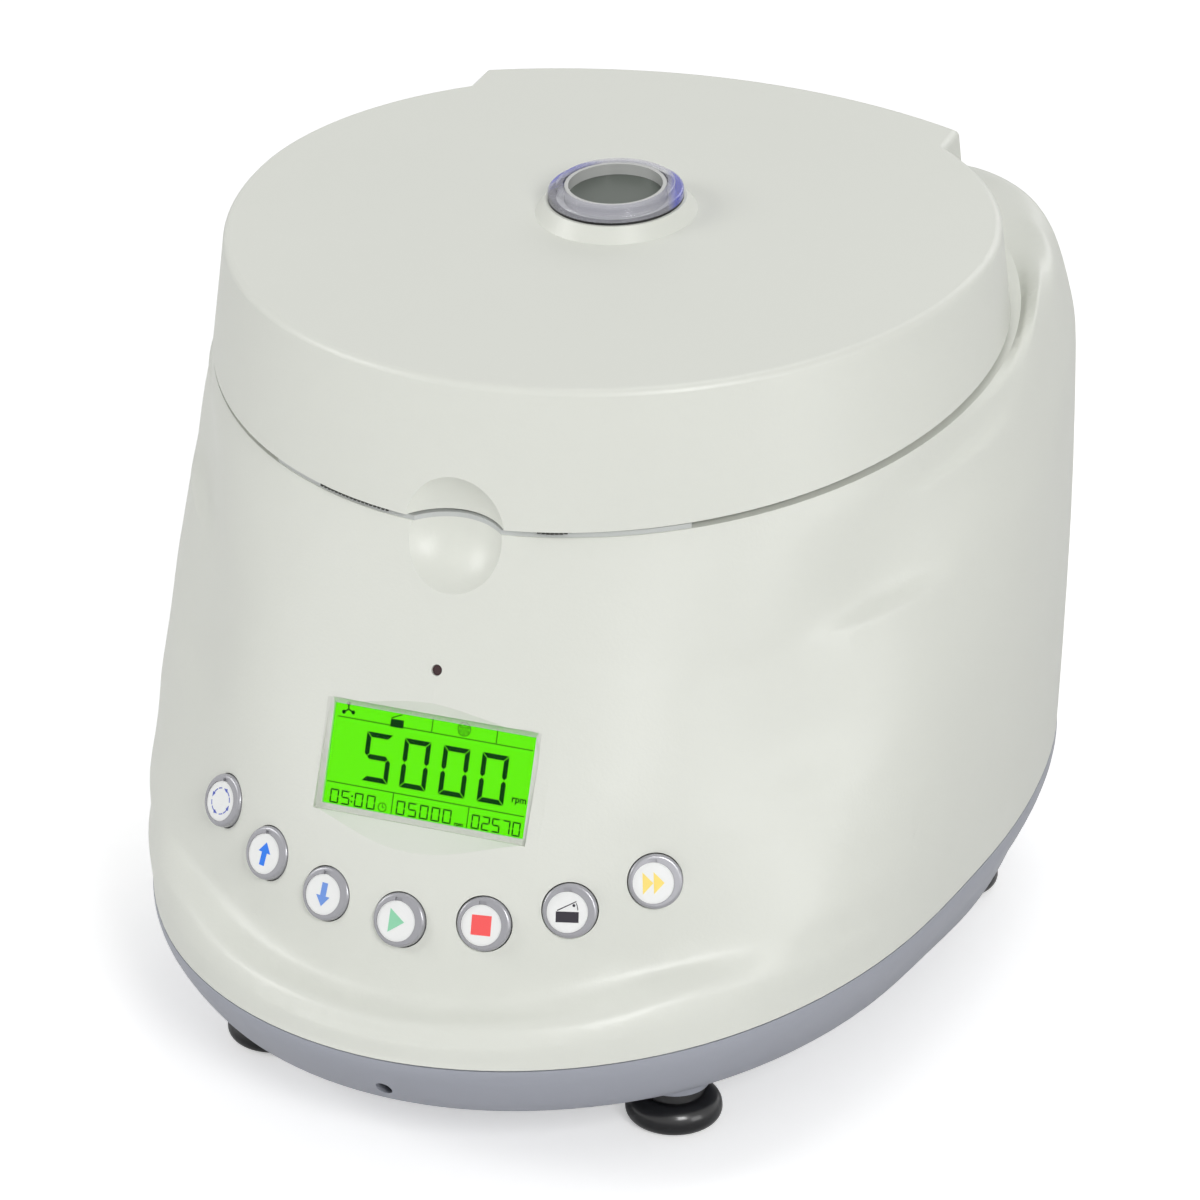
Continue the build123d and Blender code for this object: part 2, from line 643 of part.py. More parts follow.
# Lid cover: tapered shell, boss for the lens, screw bosses and the dimple
lid_plane = tilted(LID_TOP_Z, LID_TOP_SLOPE)
lid_outer = lid_form(0)
lid_inner = lid_form(LID_WALL)
liner_top = tilted(RIM_Z + LINER_LIFT + LINER_T, RIM_SLOPE)
with BuildPart() as lid_bosses:
    for x, y in LID_SCREWS:
        add(rod(x, y, 190, 300, 4))
    split(bisect_by=liner_top, keep=Keep.TOP)
    add(lid_outer, mode=Mode.INTERSECT)
with BuildPart() as lid_cover:
    add(lid_outer)
    top_edges = lid_cover.faces().sort_by(Axis.Z)[-1].edges()
    fillet(top_edges, 2.4)
    add(lid_inner, mode=Mode.SUBTRACT)
    add(lid_bosses.part)
    add(dimple_back & lid_outer)
    add(dimple, mode=Mode.SUBTRACT)
    with BuildSketch(lid_plane.offset(-1)):
        Circle(LENS_BOSS_R + 1.2)
    with BuildSketch(lid_plane.offset(LENS_RAISE)):
        Circle(LENS_R + 0.9)
    loft()
    fillet(lid_cover.faces().sort_by(Axis.Z)[-1].edges(), 1.0)
    add(bar_on(lid_plane, SIGHT_R + 0.3, -30, 20), mode=Mode.SUBTRACT)
    for side in (-1, 1):
        x = side * ARM_X
        notch = slab(x - ARM_T / 2 - 0.5, x + ARM_T / 2 + 0.5, 99, 120, 200, HINGE_Z + HINGE_EYE_R + 0.5)
        add(notch, mode=Mode.SUBTRACT)
save(lid_cover, "lid_cover")

# Lens stack on the boss: gasket, clear stepped ring, tunnel and its dark pane
ring_z = LENS_RAISE + 0.8
with BuildPart() as lens_gasket:
    with BuildSketch(lid_plane.offset(LENS_RAISE)):
        Circle(LENS_R)
        Circle(LENS_R - 2.6, mode=Mode.SUBTRACT)
    extrude(amount=0.8)
save(lens_gasket, "lens_gasket")
with BuildPart() as lens:
    add(bar_on(lid_plane, LENS_R, ring_z, ring_z + 2.4))
    fillet(lens.faces().sort_by(Axis.Z)[-1].edges(), 0.8)
    add(bar_on(lid_plane, LENS_R - 2.6, ring_z + 2, ring_z + 4))
    fillet(lens.faces().sort_by(Axis.Z)[-1].edges(), 0.5)
    add(bar_on(lid_plane, LENS_HOLE_R, ring_z - 1, ring_z + 6), mode=Mode.SUBTRACT)
save(lens, "lens")
with BuildPart() as lens_tunnel:
    add(bar_on(lid_plane, SIGHT_R, ring_z + 3.6 - TUNNEL_L, ring_z + 3.6))
    add(bar_on(lid_plane, SIGHT_R - 1.2, ring_z - 1, ring_z + 6), mode=Mode.SUBTRACT)
    add(bar_on(lid_plane, SIGHT_R - 2.6, -TUNNEL_L - 1, ring_z + 6), mode=Mode.SUBTRACT)
save(lens_tunnel, "lens_tunnel")
with BuildPart() as tunnel_pane:
    add(bar_on(lid_plane, SIGHT_R - 1.25, ring_z + 3.6 - PANE_DEPTH - 1.0, ring_z + 3.6 - PANE_DEPTH))
save(tunnel_pane, "tunnel_pane")

# Inner panel of the lid with a low ring outside the seal, left out towards the hinge
with BuildPart() as lid_liner:
    add(lid_form(LID_WALL + 0.3))
    split(bisect_by=liner_top, keep=Keep.BOTTOM)
    split(bisect_by=tilted(RIM_Z + LINER_LIFT, RIM_SLOPE), keep=Keep.TOP)
    add(bar_on(lid_plane, SIGHT_R + 0.4, -60, 20), mode=Mode.SUBTRACT)
    ring = tilted_ring(CHAMBER_R + 4.6, CHAMBER_R + 6.8, 0.8, LINER_LIFT + RIM_GAP)
    add(ring - [slab(-8, 8, -120, -90, 150, 300), slab(-130, 130, 10, 130, 150, 300)])
    for x, y in LID_SCREWS:
        add(rod(x, y, 150, 300, 1.6), mode=Mode.SUBTRACT)
    add(dimple_back, mode=Mode.SUBTRACT)
save(lid_liner, "lid_liner")

# Catch that the latch bolt goes through
with BuildPart() as lid_catch:
    add(slab(-1.5, 1.5, LATCH_Y - 3.5, LATCH_Y + 3.5, CATCH_LOW_Z, 230))
    add(slab(-6, 6, LATCH_Y - 3.5, LATCH_Y + 3.5, CATCH_LOW_Z + 15, 230))
    split(bisect_by=tilted(RIM_Z + LINER_LIFT, RIM_SLOPE), keep=Keep.BOTTOM)
    add(slab(-9, 9, LATCH_Y - BOLT_H / 2 - 0.4, LATCH_Y + BOLT_H / 2 + 0.4, BOLT_Z - 2.6, BOLT_Z + 2.6), mode=Mode.SUBTRACT)
save(lid_catch, "lid_catch")

# Hinge: arms on the lid, a clevis bracket for each on the housing, one pin through all
under_lid = tilted(LID_TOP_Z - LID_WALL, LID_TOP_SLOPE)
for side, name in ((-1, "hinge_arm_left"), (1, "hinge_arm_right")):
    with BuildPart() as hinge_arm:
        x0 = side * ARM_X - ARM_T / 2
        x1 = side * ARM_X + ARM_T / 2
        add(cross_rod(x0, x1, HINGE_Y, HINGE_Z, HINGE_EYE_R))
        add(slab(x0, x1, 86, HINGE_Y, ARM_LOW_Z, HINGE_Z + HINGE_EYE_R))
        add(slab(x0, x1, 86, 98, ARM_LOW_Z, 300))
        split(bisect_by=under_lid, keep=Keep.BOTTOM)
        add(cross_rod(x0 - 1, x1 + 1, HINGE_Y, HINGE_Z, HINGE_PIN_R + RUNNING_FIT), mode=Mode.SUBTRACT)
    save(hinge_arm, name)
top_of_housing = tilted(RIM_Z - RIM_GAP, RIM_SLOPE)
for side, name in ((-1, "hinge_bracket_left"), (1, "hinge_bracket_right")):
    with BuildPart() as hinge_bracket:
        reach = ARM_T / 2 + ARM_GAP + CHEEK_T
        x0 = side * ARM_X - reach
        x1 = side * ARM_X + reach
        add(cross_rod(x0, x1, HINGE_Y, HINGE_Z, HINGE_EYE_R + 0.3))
        add(slab(x0, x1, HINGE_Y - HINGE_EYE_R, HINGE_Y + HINGE_EYE_R, 220, HINGE_Z))
        add(slab(x0 - 5, x1 + 5, HINGE_Y - 5.5, HINGE_Y + 5.5, 220, HINGE_Z - 6))
        inner_reach = ARM_T / 2 + ARM_GAP
        mid_x = side * ARM_X
        gap = slab(mid_x - inner_reach, mid_x + inner_reach, 100, 140, HINGE_Z - 5.4, 260)
        add(gap, mode=Mode.SUBTRACT)
        split(bisect_by=top_of_housing, keep=Keep.TOP)
        add(cross_rod(x0 - 1, x1 + 1, HINGE_Y, HINGE_Z, HINGE_PIN_R), mode=Mode.SUBTRACT)
    save(hinge_bracket, name)
with BuildPart() as hinge_pin:
    reach = ARM_X + ARM_T / 2 + ARM_GAP + CHEEK_T + 1
    add(cross_rod(-reach, reach, HINGE_Y, HINGE_Z, HINGE_PIN_R))
    chamfer(hinge_pin.edges().filter_by(GeomType.CIRCLE), 0.5)
save(hinge_pin, "hinge_pin")

# Display: clear cover, lit panel and control board
with BuildPart() as display_window:
    add(box_on(lcd_plane, LCD_W, LCD_H, -LCD_DEPTH - LCD_GLASS, -LCD_DEPTH))
save(display_window, "display_window")
with BuildPart() as display_panel:
    add(box_on(lcd_plane, LCD_W + 3.4, LCD_H + 3.4, LCD_REAR - 5, LCD_REAR))
    add(box_on(lcd_plane, LCD_W - 4, LCD_H - 4, LCD_REAR - 2, LCD_REAR + 1.2))
save(display_panel, "display_panel")
with BuildPart() as control_board:
    add(box_on(lcd_plane, 84, 43, -19.6, -18))
    for x, y, w, h, t in ((-28, 13, 18, 10, 5), (10, 11, 13, 13, 2.4), (32, -6, 10, 18, 7), (-20, -11, 26, 8, 4)):
        chip = Pos(x, y, -19.6 - t / 2) * Box(w, h, t, mode=Mode.PRIVATE)
        add(lcd_plane.location * chip)
    for x in (-39, 39):
        add(lcd_plane.location * Pos(x, 17, -18) * Cylinder(1.6, 8, mode=Mode.PRIVATE), mode=Mode.SUBTRACT)
    add(box_on(lcd_plane, LCD_W - 10, 6, -18, LCD_REAR - 5))
save(control_board, "control_board")
with BuildPart() as light_pipe:
    add(bar_on(face_plane(0, INDICATOR_Z, 0, APRON_LEAN), LIGHT_PIPE_R, -14, -1.2))
    add(bar_on(face_plane(0, INDICATOR_Z, 0, APRON_LEAN), 3.4, -14, -10.6))
save(light_pipe, "light_pipe")

# Push buttons: ring cap on a stem, white symbol disc set off centre in the cap
for name, angle, z, turn in BUTTONS:
    seat = face_plane(angle, z, turn, BUTTON_LEAN)
    with BuildPart() as button_cap:
        add(bar_on(seat, BUTTON_R, -6, BUTTON_PROUD))
        fillet(button_cap.edges().filter_by(GeomType.CIRCLE).sort_by(lambda e: e.center().dot(seat.z_dir))[-1], 1.0)
        add(bar_on(seat, 4.0, -11.2, -6))
        dish = seat.location * Pos(*DISC_SHIFT, BUTTON_PROUD) * Cylinder(BUTTON_R - 2.0, 2.4, mode=Mode.PRIVATE)
        add(dish, mode=Mode.SUBTRACT)
        notch = seat.location * Pos(DISC_SHIFT[0], BUTTON_R - 2.6, BUTTON_PROUD) * Box(2.2, 2.2, 1.6, mode=Mode.PRIVATE)
        add(notch, mode=Mode.SUBTRACT)
    save(button_cap, f"button_{name}")
    with BuildPart() as button_disc:
        disc = Cylinder(BUTTON_R - 2.05, 0.8, align=(Align.CENTER, Align.CENTER, Align.MIN), mode=Mode.PRIVATE)
        add(seat.location * Pos(*DISC_SHIFT, BUTTON_PROUD - 1.2) * disc)
    save(button_disc, f"disc_{name}")

# Keypad carrier behind the buttons
with BuildPart() as keypad_carrier:
    with BuildSketch(Plane.XZ):
        lean = math.tan(math.radians(BUTTON_LEAN))
        low = KEYPAD_R - KEYPAD_BACK + (79.7 - 66) * lean
        high = KEYPAD_R - KEYPAD_BACK - (93.5 - 79.7) * lean
        Polygon((low, 66), (high, 93.5), (high - 2.5, 93.5), (low - 2.5, 66), align=None)
    revolve(axis=Axis.Z, revolution_arc=360)
    add(slab(-200, 200, -46, 200, 0, 200), mode=Mode.SUBTRACT)
keypad_carrier.part = Pos(0, KEYPAD_AXIS_Y, 0) * keypad_carrier.part
save(keypad_carrier, "keypad_carrier")

# Lid lock under the front of the housing top
under_top = tilted(RIM_Z - RIM_GAP - WALL - 0.5, RIM_SLOPE)
with BuildPart() as latch_case:
    add(slab(-26, 26, -116.3, -104.3, 162, 200))
    split(bisect_by=under_top, keep=Keep.BOTTOM)
    add(slab(-3.4, 3.4, -118, LATCH_Y + 4.2, CATCH_LOW_Z - 1.5, 205), mode=Mode.SUBTRACT)
    add(slab(-30, 12, LATCH_Y - 2.3, LATCH_Y + 2.3, BOLT_Z - 2.3, BOLT_Z + 2.3), mode=Mode.SUBTRACT)
    add(slab(-20, -8, -118, -112, 166, 174), mode=Mode.SUBTRACT)
    add(slab(8, 20, -118, -112, 166, 174), mode=Mode.SUBTRACT)
save(latch_case, "latch_case")
with BuildPart() as latch_bolt:
    add(slab(-44, -3.5, LATCH_Y - BOLT_H / 2, LATCH_Y + BOLT_H / 2, BOLT_Z - BOLT_H / 2, BOLT_Z + BOLT_H / 2))
    chamfer(latch_bolt.faces().sort_by(Axis.X)[-1].edges(), 0.8)
save(latch_bolt, "latch_bolt")
with BuildPart() as solenoid:
    add(slab(-47, -26, -113, -103.8, 174, 200))
    split(bisect_by=under_top, keep=Keep.BOTTOM)
    add(slab(-45.5, -20, LATCH_Y - 2.3, LATCH_Y + 2.3, BOLT_Z - 2.3, BOLT_Z + 2.3), mode=Mode.SUBTRACT)
save(solenoid, "solenoid")
with BuildPart() as lid_switch:
    add(slab(26, 40, -113, -104, 174, 200))
    split(bisect_by=under_top, keep=Keep.BOTTOM)
    add(slab(29, 31, -120, -100, 170, 177), mode=Mode.SUBTRACT)
    add(slab(35, 37, -120, -100, 170, 177), mode=Mode.SUBTRACT)
save(lid_switch, "lid_switch")

# Rear panel with its vent slots, inlet, fuse drawer and rocker switch
panel_face = PANEL_Y + PANEL_T
with BuildPart() as rear_panel:
    add(slab(-PANEL_W / 2, PANEL_W / 2, PANEL_Y, panel_face, PANEL_Z - PANEL_H / 2, PANEL_Z + PANEL_H / 2))
    fillet(rear_panel.edges().filter_by(Axis.Y), 3)
    add(slab(INLET_X - 14.1, INLET_X + 14.1, 120, 150, PANEL_Z - 19.3, PANEL_Z + 19.3), mode=Mode.SUBTRACT)
    add(slab(SWITCH_X - 9.3, SWITCH_X + 9.3, 120, 150, PANEL_Z - 13.8, PANEL_Z + 13.8), mode=Mode.SUBTRACT)
    for i in range(7):
        x = -12 + 6 * i
        add(slab(x - 1.6, x + 1.6, 120, 150, PANEL_Z - 19, PANEL_Z + 19), mode=Mode.SUBTRACT)
    for x in (-61, 61):
        for z in (-26, 26):
            head = Pos(x, panel_face, PANEL_Z + z) * Rot(90, 0, 0) * Cylinder(2.6, 1.6, mode=Mode.PRIVATE)
            add(head, mode=Mode.SUBTRACT)
save(rear_panel, "rear_panel")
with BuildPart() as power_inlet:
    add(slab(INLET_X - 15.5, INLET_X + 15.5, panel_face, panel_face + 2, PANEL_Z - 21, PANEL_Z + 21))
    fillet(power_inlet.edges().filter_by(Axis.Y), 2)
    add(slab(INLET_X - 13.8, INLET_X + 13.8, 112, panel_face, PANEL_Z - 19, PANEL_Z + 19))
    with BuildSketch(Plane(origin=(INLET_X, SOCKET_FLOOR_Y, SOCKET_Z), x_dir=(-1, 0, 0), z_dir=(0, 1, 0))):
        Polygon((-12, -8.2), (12, -8.2), (12, 4), (8, 8.2), (-8, 8.2), (-12, 4), align=None)
    extrude(amount=40, mode=Mode.SUBTRACT)
    add(slab(INLET_X - 11, INLET_X + 11, 116, 150, DRAWER_Z - 4.5, DRAWER_Z + 4.5), mode=Mode.SUBTRACT)
save(power_inlet, "power_inlet")
with BuildPart() as inlet_pins:
    add(slab(INLET_X - 9.5, INLET_X + 9.5, SOCKET_FLOOR_Y, SOCKET_FLOOR_Y + 1.2, SOCKET_Z - 6.5, SOCKET_Z + 5))
    for x, z in ((-7, -2), (7, -2), (0, 2)):
        add(slab(INLET_X + x - 1, INLET_X + x + 1, SOCKET_FLOOR_Y, SOCKET_FLOOR_Y + 13, SOCKET_Z + z - 2, SOCKET_Z + z + 2))
save(inlet_pins, "inlet_pins")
with BuildPart() as fuse_drawer:
    add(slab(INLET_X - 10.6, INLET_X + 10.6, 118, panel_face + 2.2, DRAWER_Z - 4.1, DRAWER_Z + 4.1))
    add(slab(INLET_X - 8, INLET_X + 8, 120, 134, DRAWER_Z - 2.6, DRAWER_Z + 10), mode=Mode.SUBTRACT)
    add(slab(INLET_X - 12, INLET_X + 12, panel_face + 2.2, panel_face + 3.8, DRAWER_Z - 5.2, DRAWER_Z + 5.2))
    add(slab(INLET_X - 4, INLET_X + 4, panel_face + 3, panel_face + 9, DRAWER_Z - 5.2, DRAWER_Z - 3.4), mode=Mode.SUBTRACT)
save(fuse_drawer, "fuse_drawer")
with BuildPart() as switch_frame:
    add(slab(SWITCH_X - 11, SWITCH_X + 11, panel_face, panel_face + 1.5, PANEL_Z - 15.5, PANEL_Z + 15.5))
    fillet(switch_frame.edges().filter_by(Axis.Y), 1.5)
    add(slab(SWITCH_X - 9, SWITCH_X + 9, 118, panel_face, PANEL_Z - 13.5, PANEL_Z + 13.5))
    add(slab(SWITCH_X - 7.3, SWITCH_X + 7.3, 125.5, 150, PANEL_Z - 12, PANEL_Z + 12), mode=Mode.SUBTRACT)
    add(cross_rod(SWITCH_X - 8, SWITCH_X + 8, ROCKER_Y, PANEL_Z, ROCKER_PIN_R))
save(switch_frame, "switch_frame")
with BuildPart() as rocker:
    with BuildSketch(Plane(origin=(SWITCH_X - 6.9, 0, 0), x_dir=(0, 1, 0), z_dir=(1, 0, 0))):
        z = PANEL_Z
        Polygon((129, z - 9.5), (137.2, z - 10.4), (135.4, z), (137.2, z + 10.4), (129, z + 9.5), align=None)
    extrude(amount=13.8)
    add(cross_rod(SWITCH_X - 8, SWITCH_X + 8, ROCKER_Y, PANEL_Z, ROCKER_PIN_R + RUNNING_FIT), mode=Mode.SUBTRACT)
rocker.part = Pos(0, ROCKER_Y, PANEL_Z) * Rot(-ROCKER_TILT, 0, 0) * Pos(0, -ROCKER_Y, -PANEL_Z) * rocker.part
save(rocker, "rocker")

# Power board on its posts in the tray
with BuildPart() as power_board:
    add(slab(-62, 62, 84, 122, BOARD_Z, BOARD_Z + 1.6))
    add(slab(-46, -8, 88, 118, BOARD_Z + 1.6, BOARD_Z + 30))
    add(slab(-40, -14, 85.5, 120.5, BOARD_Z + 5, BOARD_Z + 27))
    add(rod(10, 94, BOARD_Z + 1, BOARD_Z + 27, 7))
    add(rod(10, 112, BOARD_Z + 1, BOARD_Z + 27, 7))
    add(slab(26, 50, 88, 118, BOARD_Z + 1, BOARD_Z + 5))
    for i in range(5):
        add(slab(26 + 5 * i, 28 + 5 * i, 88, 118, BOARD_Z + 1, BOARD_Z + 24))
save(power_board, "power_board")
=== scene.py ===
"""High-speed bench centrifuge: finishes, printed marks, fixings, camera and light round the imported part."""

import json
import logging
import math
from dataclasses import dataclass
from enum import Enum

import bpy
import numpy as np
from bpy.types import Material, Node, NodeTree, Object
from mathutils import Matrix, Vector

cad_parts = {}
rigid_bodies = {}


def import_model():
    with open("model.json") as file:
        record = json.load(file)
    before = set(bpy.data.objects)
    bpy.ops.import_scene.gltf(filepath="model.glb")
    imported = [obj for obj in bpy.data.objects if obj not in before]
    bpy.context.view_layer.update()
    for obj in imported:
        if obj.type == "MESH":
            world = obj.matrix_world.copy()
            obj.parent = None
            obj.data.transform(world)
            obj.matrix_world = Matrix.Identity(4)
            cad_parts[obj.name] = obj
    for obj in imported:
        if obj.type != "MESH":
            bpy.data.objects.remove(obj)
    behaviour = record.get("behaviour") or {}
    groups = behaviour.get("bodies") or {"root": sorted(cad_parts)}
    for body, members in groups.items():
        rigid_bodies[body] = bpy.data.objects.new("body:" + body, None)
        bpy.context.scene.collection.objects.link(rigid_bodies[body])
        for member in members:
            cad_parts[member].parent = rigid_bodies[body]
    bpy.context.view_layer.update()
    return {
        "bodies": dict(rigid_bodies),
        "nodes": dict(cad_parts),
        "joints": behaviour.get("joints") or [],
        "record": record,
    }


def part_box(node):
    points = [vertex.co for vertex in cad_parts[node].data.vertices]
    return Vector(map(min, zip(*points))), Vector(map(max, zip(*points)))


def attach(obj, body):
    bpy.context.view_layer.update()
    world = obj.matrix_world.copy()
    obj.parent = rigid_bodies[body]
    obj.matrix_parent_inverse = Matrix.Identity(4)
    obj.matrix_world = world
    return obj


LOG = logging.getLogger("centrifuge")

MM = 0.001

# Underside and top of a printed mark above its face, in millimetres
MARK_LOW = 0.01
MARK_HIGH = 0.06

# Values that the finishes share; the stretch is along the marks of a brushed one
COAT_ROUGHNESS = 0.12
BUMP_DISTANCE = 0.0002
BRUSHED_STRETCH = 0.02

# Socket types of a shader group
FLOAT, VECTOR, COLOUR = "NodeSocketFloat", "NodeSocketVector", "NodeSocketColor"

# Photograph: its width, focal length and centre in pixels, and the camera's place and target in metres
PHOTO_WIDTH = 1200.0
FOCAL_PIXELS = 5000.0
SENSOR_WIDTH = 36.0
CENTRE_PIXEL = (608.99, 603.35)
CAMERA_ROLL = math.radians(0.19)
CAMERA_PLACE = (0.54746, -1.34533, 0.77456)
CAMERA_TARGET = (-0.00108, 0.02174, 0.11270)


class Lay(Enum):
    """How the fine marks of a metal finish run."""

    NONE = "none"
    ROUND = "round"
    ALONG_X = "along x"


class Digit(Enum):
    """Lit bars of each digit, named from the top clockwise, with the middle bar last."""

    ZERO = "abcdef"
    TWO = "abdeg"
    FIVE = "acdfg"
    SEVEN = "abc"


DIGITS = {"0": Digit.ZERO, "2": Digit.TWO, "5": Digit.FIVE, "7": Digit.SEVEN}


def linear(red: float, green: float, blue: float) -> tuple[float, float, float, float]:
    """Colour written as 0 to 255 display values, as the linear colour that a shader takes."""
    parts = []
    for value in (red, green, blue):
        c = value / 255.0
        parts.append(c / 12.92 if c <= 0.04045 else ((c + 0.055) / 1.055) ** 2.4)
    return (parts[0], parts[1], parts[2], 1.0)


def new_object(name: str, data: bpy.types.ID) -> Object:
    """Object that holds some data, linked into the scene."""
    piece = bpy.data.objects.new(name, data)
    bpy.context.scene.collection.objects.link(piece)
    return piece


# Shader nodes and the effects that the finishes use


def set_values(node: Node, values: dict[str | int, object]) -> None:
    """Sets the default value of each socket of a node that is named or numbered."""
    for socket, value in values.items():
        node.inputs[socket].default_value = value


def add_node(tree: NodeTree, kind: str, values: dict[str | int, object] | None = None) -> Node:
    """Adds a node of a type, with the default values of some of its sockets, and returns it."""
    node = tree.nodes.new(kind)
    set_values(node, values or {})
    return node


def math_node(tree: NodeTree, operation: str, values: dict[str | int, object] | None = None) -> Node:
    """Adds a math node with an operation, and returns it."""
    node = add_node(tree, "ShaderNodeMath", values)
    node.operation = operation
    return node


def connect(tree: NodeTree, *links: tuple[Node, str | int, Node, str | int]) -> None:
    """Links sockets: each row is a node and its output, then a node and its input."""
    for source, output, target, socket in links:
        tree.links.new(source.outputs[output], target.inputs[socket])


class Effects:
    """Shader groups that the finishes use, each built once."""

    def __init__(self) -> None:
        """Builds the four groups."""
        self.grain = self._grain()
        self.drift = self._drift()
        self.lay = self._lay()
        self.edge_tint = self._edge_tint()

    @staticmethod
    def _group(
        name: str, inputs: list[tuple[str, str, float | None]], outputs: list[tuple[str, str]]
    ) -> tuple[NodeTree, Node, Node]:
        """Makes an empty group with named sockets.

        Args:
            name: group name.
            inputs: socket name, socket type and default value.
            outputs: socket name and socket type.

        Returns:
            The group, its input node and its output node.
        """
        group = bpy.data.node_groups.new(name, "ShaderNodeTree")
        for label, kind, value in inputs:
            socket = group.interface.new_socket(label, in_out="INPUT", socket_type=kind)
            if value is not None:
                socket.default_value = value
        for label, kind in outputs:
            group.interface.new_socket(label, in_out="OUTPUT", socket_type=kind)
        return group, group.nodes.new("NodeGroupInput"), group.nodes.new("NodeGroupOutput")

    def _grain(self) -> NodeTree:
        """Moulded texture: fine noise as the height and broad noise as the mask."""
        group, start, end = self._group(
            "moulded_grain",
            [("Vector", VECTOR, None), ("Scale", FLOAT, 900.0)],
            [("Height", FLOAT), ("Mask", FLOAT)],
        )
        fine = add_node(group, "ShaderNodeTexNoise", {"Detail": 2.0, "Roughness": 0.6})
        broad = add_node(group, "ShaderNodeTexNoise", {"Scale": 60.0, "Detail": 3.0})
        connect(
            group,
            (start, "Vector", fine, "Vector"), (start, "Scale", fine, "Scale"),
            (start, "Vector", broad, "Vector"), (fine, "Fac", end, "Height"),
            (broad, "Fac", end, "Mask"),
        )
        return group

    def _drift(self) -> NodeTree:
        """Slow change of tone: the colour times one plus amount times soft noise about zero."""
        group, start, end = self._group(
            "tone_drift",
            [("Vector", VECTOR, None), ("Colour", COLOUR, None), ("Amount", FLOAT, 0.05)],
            [("Colour", COLOUR)],
        )
        noise = add_node(group, "ShaderNodeTexNoise", {"Scale": 22.0, "Detail": 4.0})
        centre = math_node(group, "SUBTRACT", {1: 0.5})
        times = math_node(group, "MULTIPLY_ADD", {2: 1.0})
        scale = add_node(group, "ShaderNodeVectorMath")
        scale.operation = "SCALE"
        connect(
            group,
            (start, "Vector", noise, "Vector"), (noise, "Fac", centre, 0), (centre, 0, times, 0),
            (start, "Amount", times, 1), (start, "Colour", scale, 0), (times, 0, scale, "Scale"),
            (scale, "Vector", end, "Colour"),
        )
        return group

    def _lay(self) -> NodeTree:
        """Tool marks: one noise as the height and the mask. The finish stretches its coordinates."""
        group, start, end = self._group(
            "tool_marks",
            [("Vector", VECTOR, None), ("Scale", FLOAT, 400.0)],
            [("Height", FLOAT), ("Mask", FLOAT)],
        )
        noise = add_node(group, "ShaderNodeTexNoise", {"Detail": 3.0})
        connect(
            group,
            (start, "Vector", noise, "Vector"), (start, "Scale", noise, "Scale"),
            (noise, "Fac", end, "Height"), (noise, "Fac", end, "Mask"),
        )
        return group

    def _edge_tint(self) -> NodeTree:
        """Tint gathered in the two side arcs of a clear ring, and the opacity that goes with it.

        The reach is the distance across from the ring's axis plus 0.4 times the distance to the
        rear. The share of tint climbs smoothly from none at the near reach to all of it at the
        far one; opacity climbs with it from the clear value to the dense one.
        """
        group, start, end = self._group(
            "edge_tint",
            [("Vector", VECTOR, None), ("Colour", COLOUR, None), ("Tint", COLOUR, None),
             ("Near", FLOAT, 0.0165), ("Far", FLOAT, 0.0205), ("Clear", FLOAT, 0.4), ("Dense", FLOAT, 0.75)],
            [("Colour", COLOUR), ("Alpha", FLOAT)],
        )
        split = add_node(group, "ShaderNodeSeparateXYZ")
        across = math_node(group, "ABSOLUTE")
        reach = math_node(group, "MULTIPLY_ADD", {1: 0.4})
        share = add_node(group, "ShaderNodeMapRange")
        share.interpolation_type = "SMOOTHSTEP"
        mix = add_node(group, "ShaderNodeMix")
        mix.data_type = "RGBA"
        opacity = add_node(group, "ShaderNodeMapRange")
        connect(
            group,
            (start, "Vector", split, "Vector"), (split, "X", across, 0), (split, "Y", reach, 0),
            (across, 0, reach, 2), (reach, 0, share, "Value"), (start, "Near", share, "From Min"),
            (start, "Far", share, "From Max"), (share, "Result", mix, "Factor"),
            (start, "Colour", mix, "A"), (start, "Tint", mix, "B"),
            (share, "Result", opacity, "Value"), (start, "Clear", opacity, "To Min"),
            (start, "Dense", opacity, "To Max"), (mix, "Result", end, "Colour"),
            (opacity, "Result", end, "Alpha"),
        )
        return group


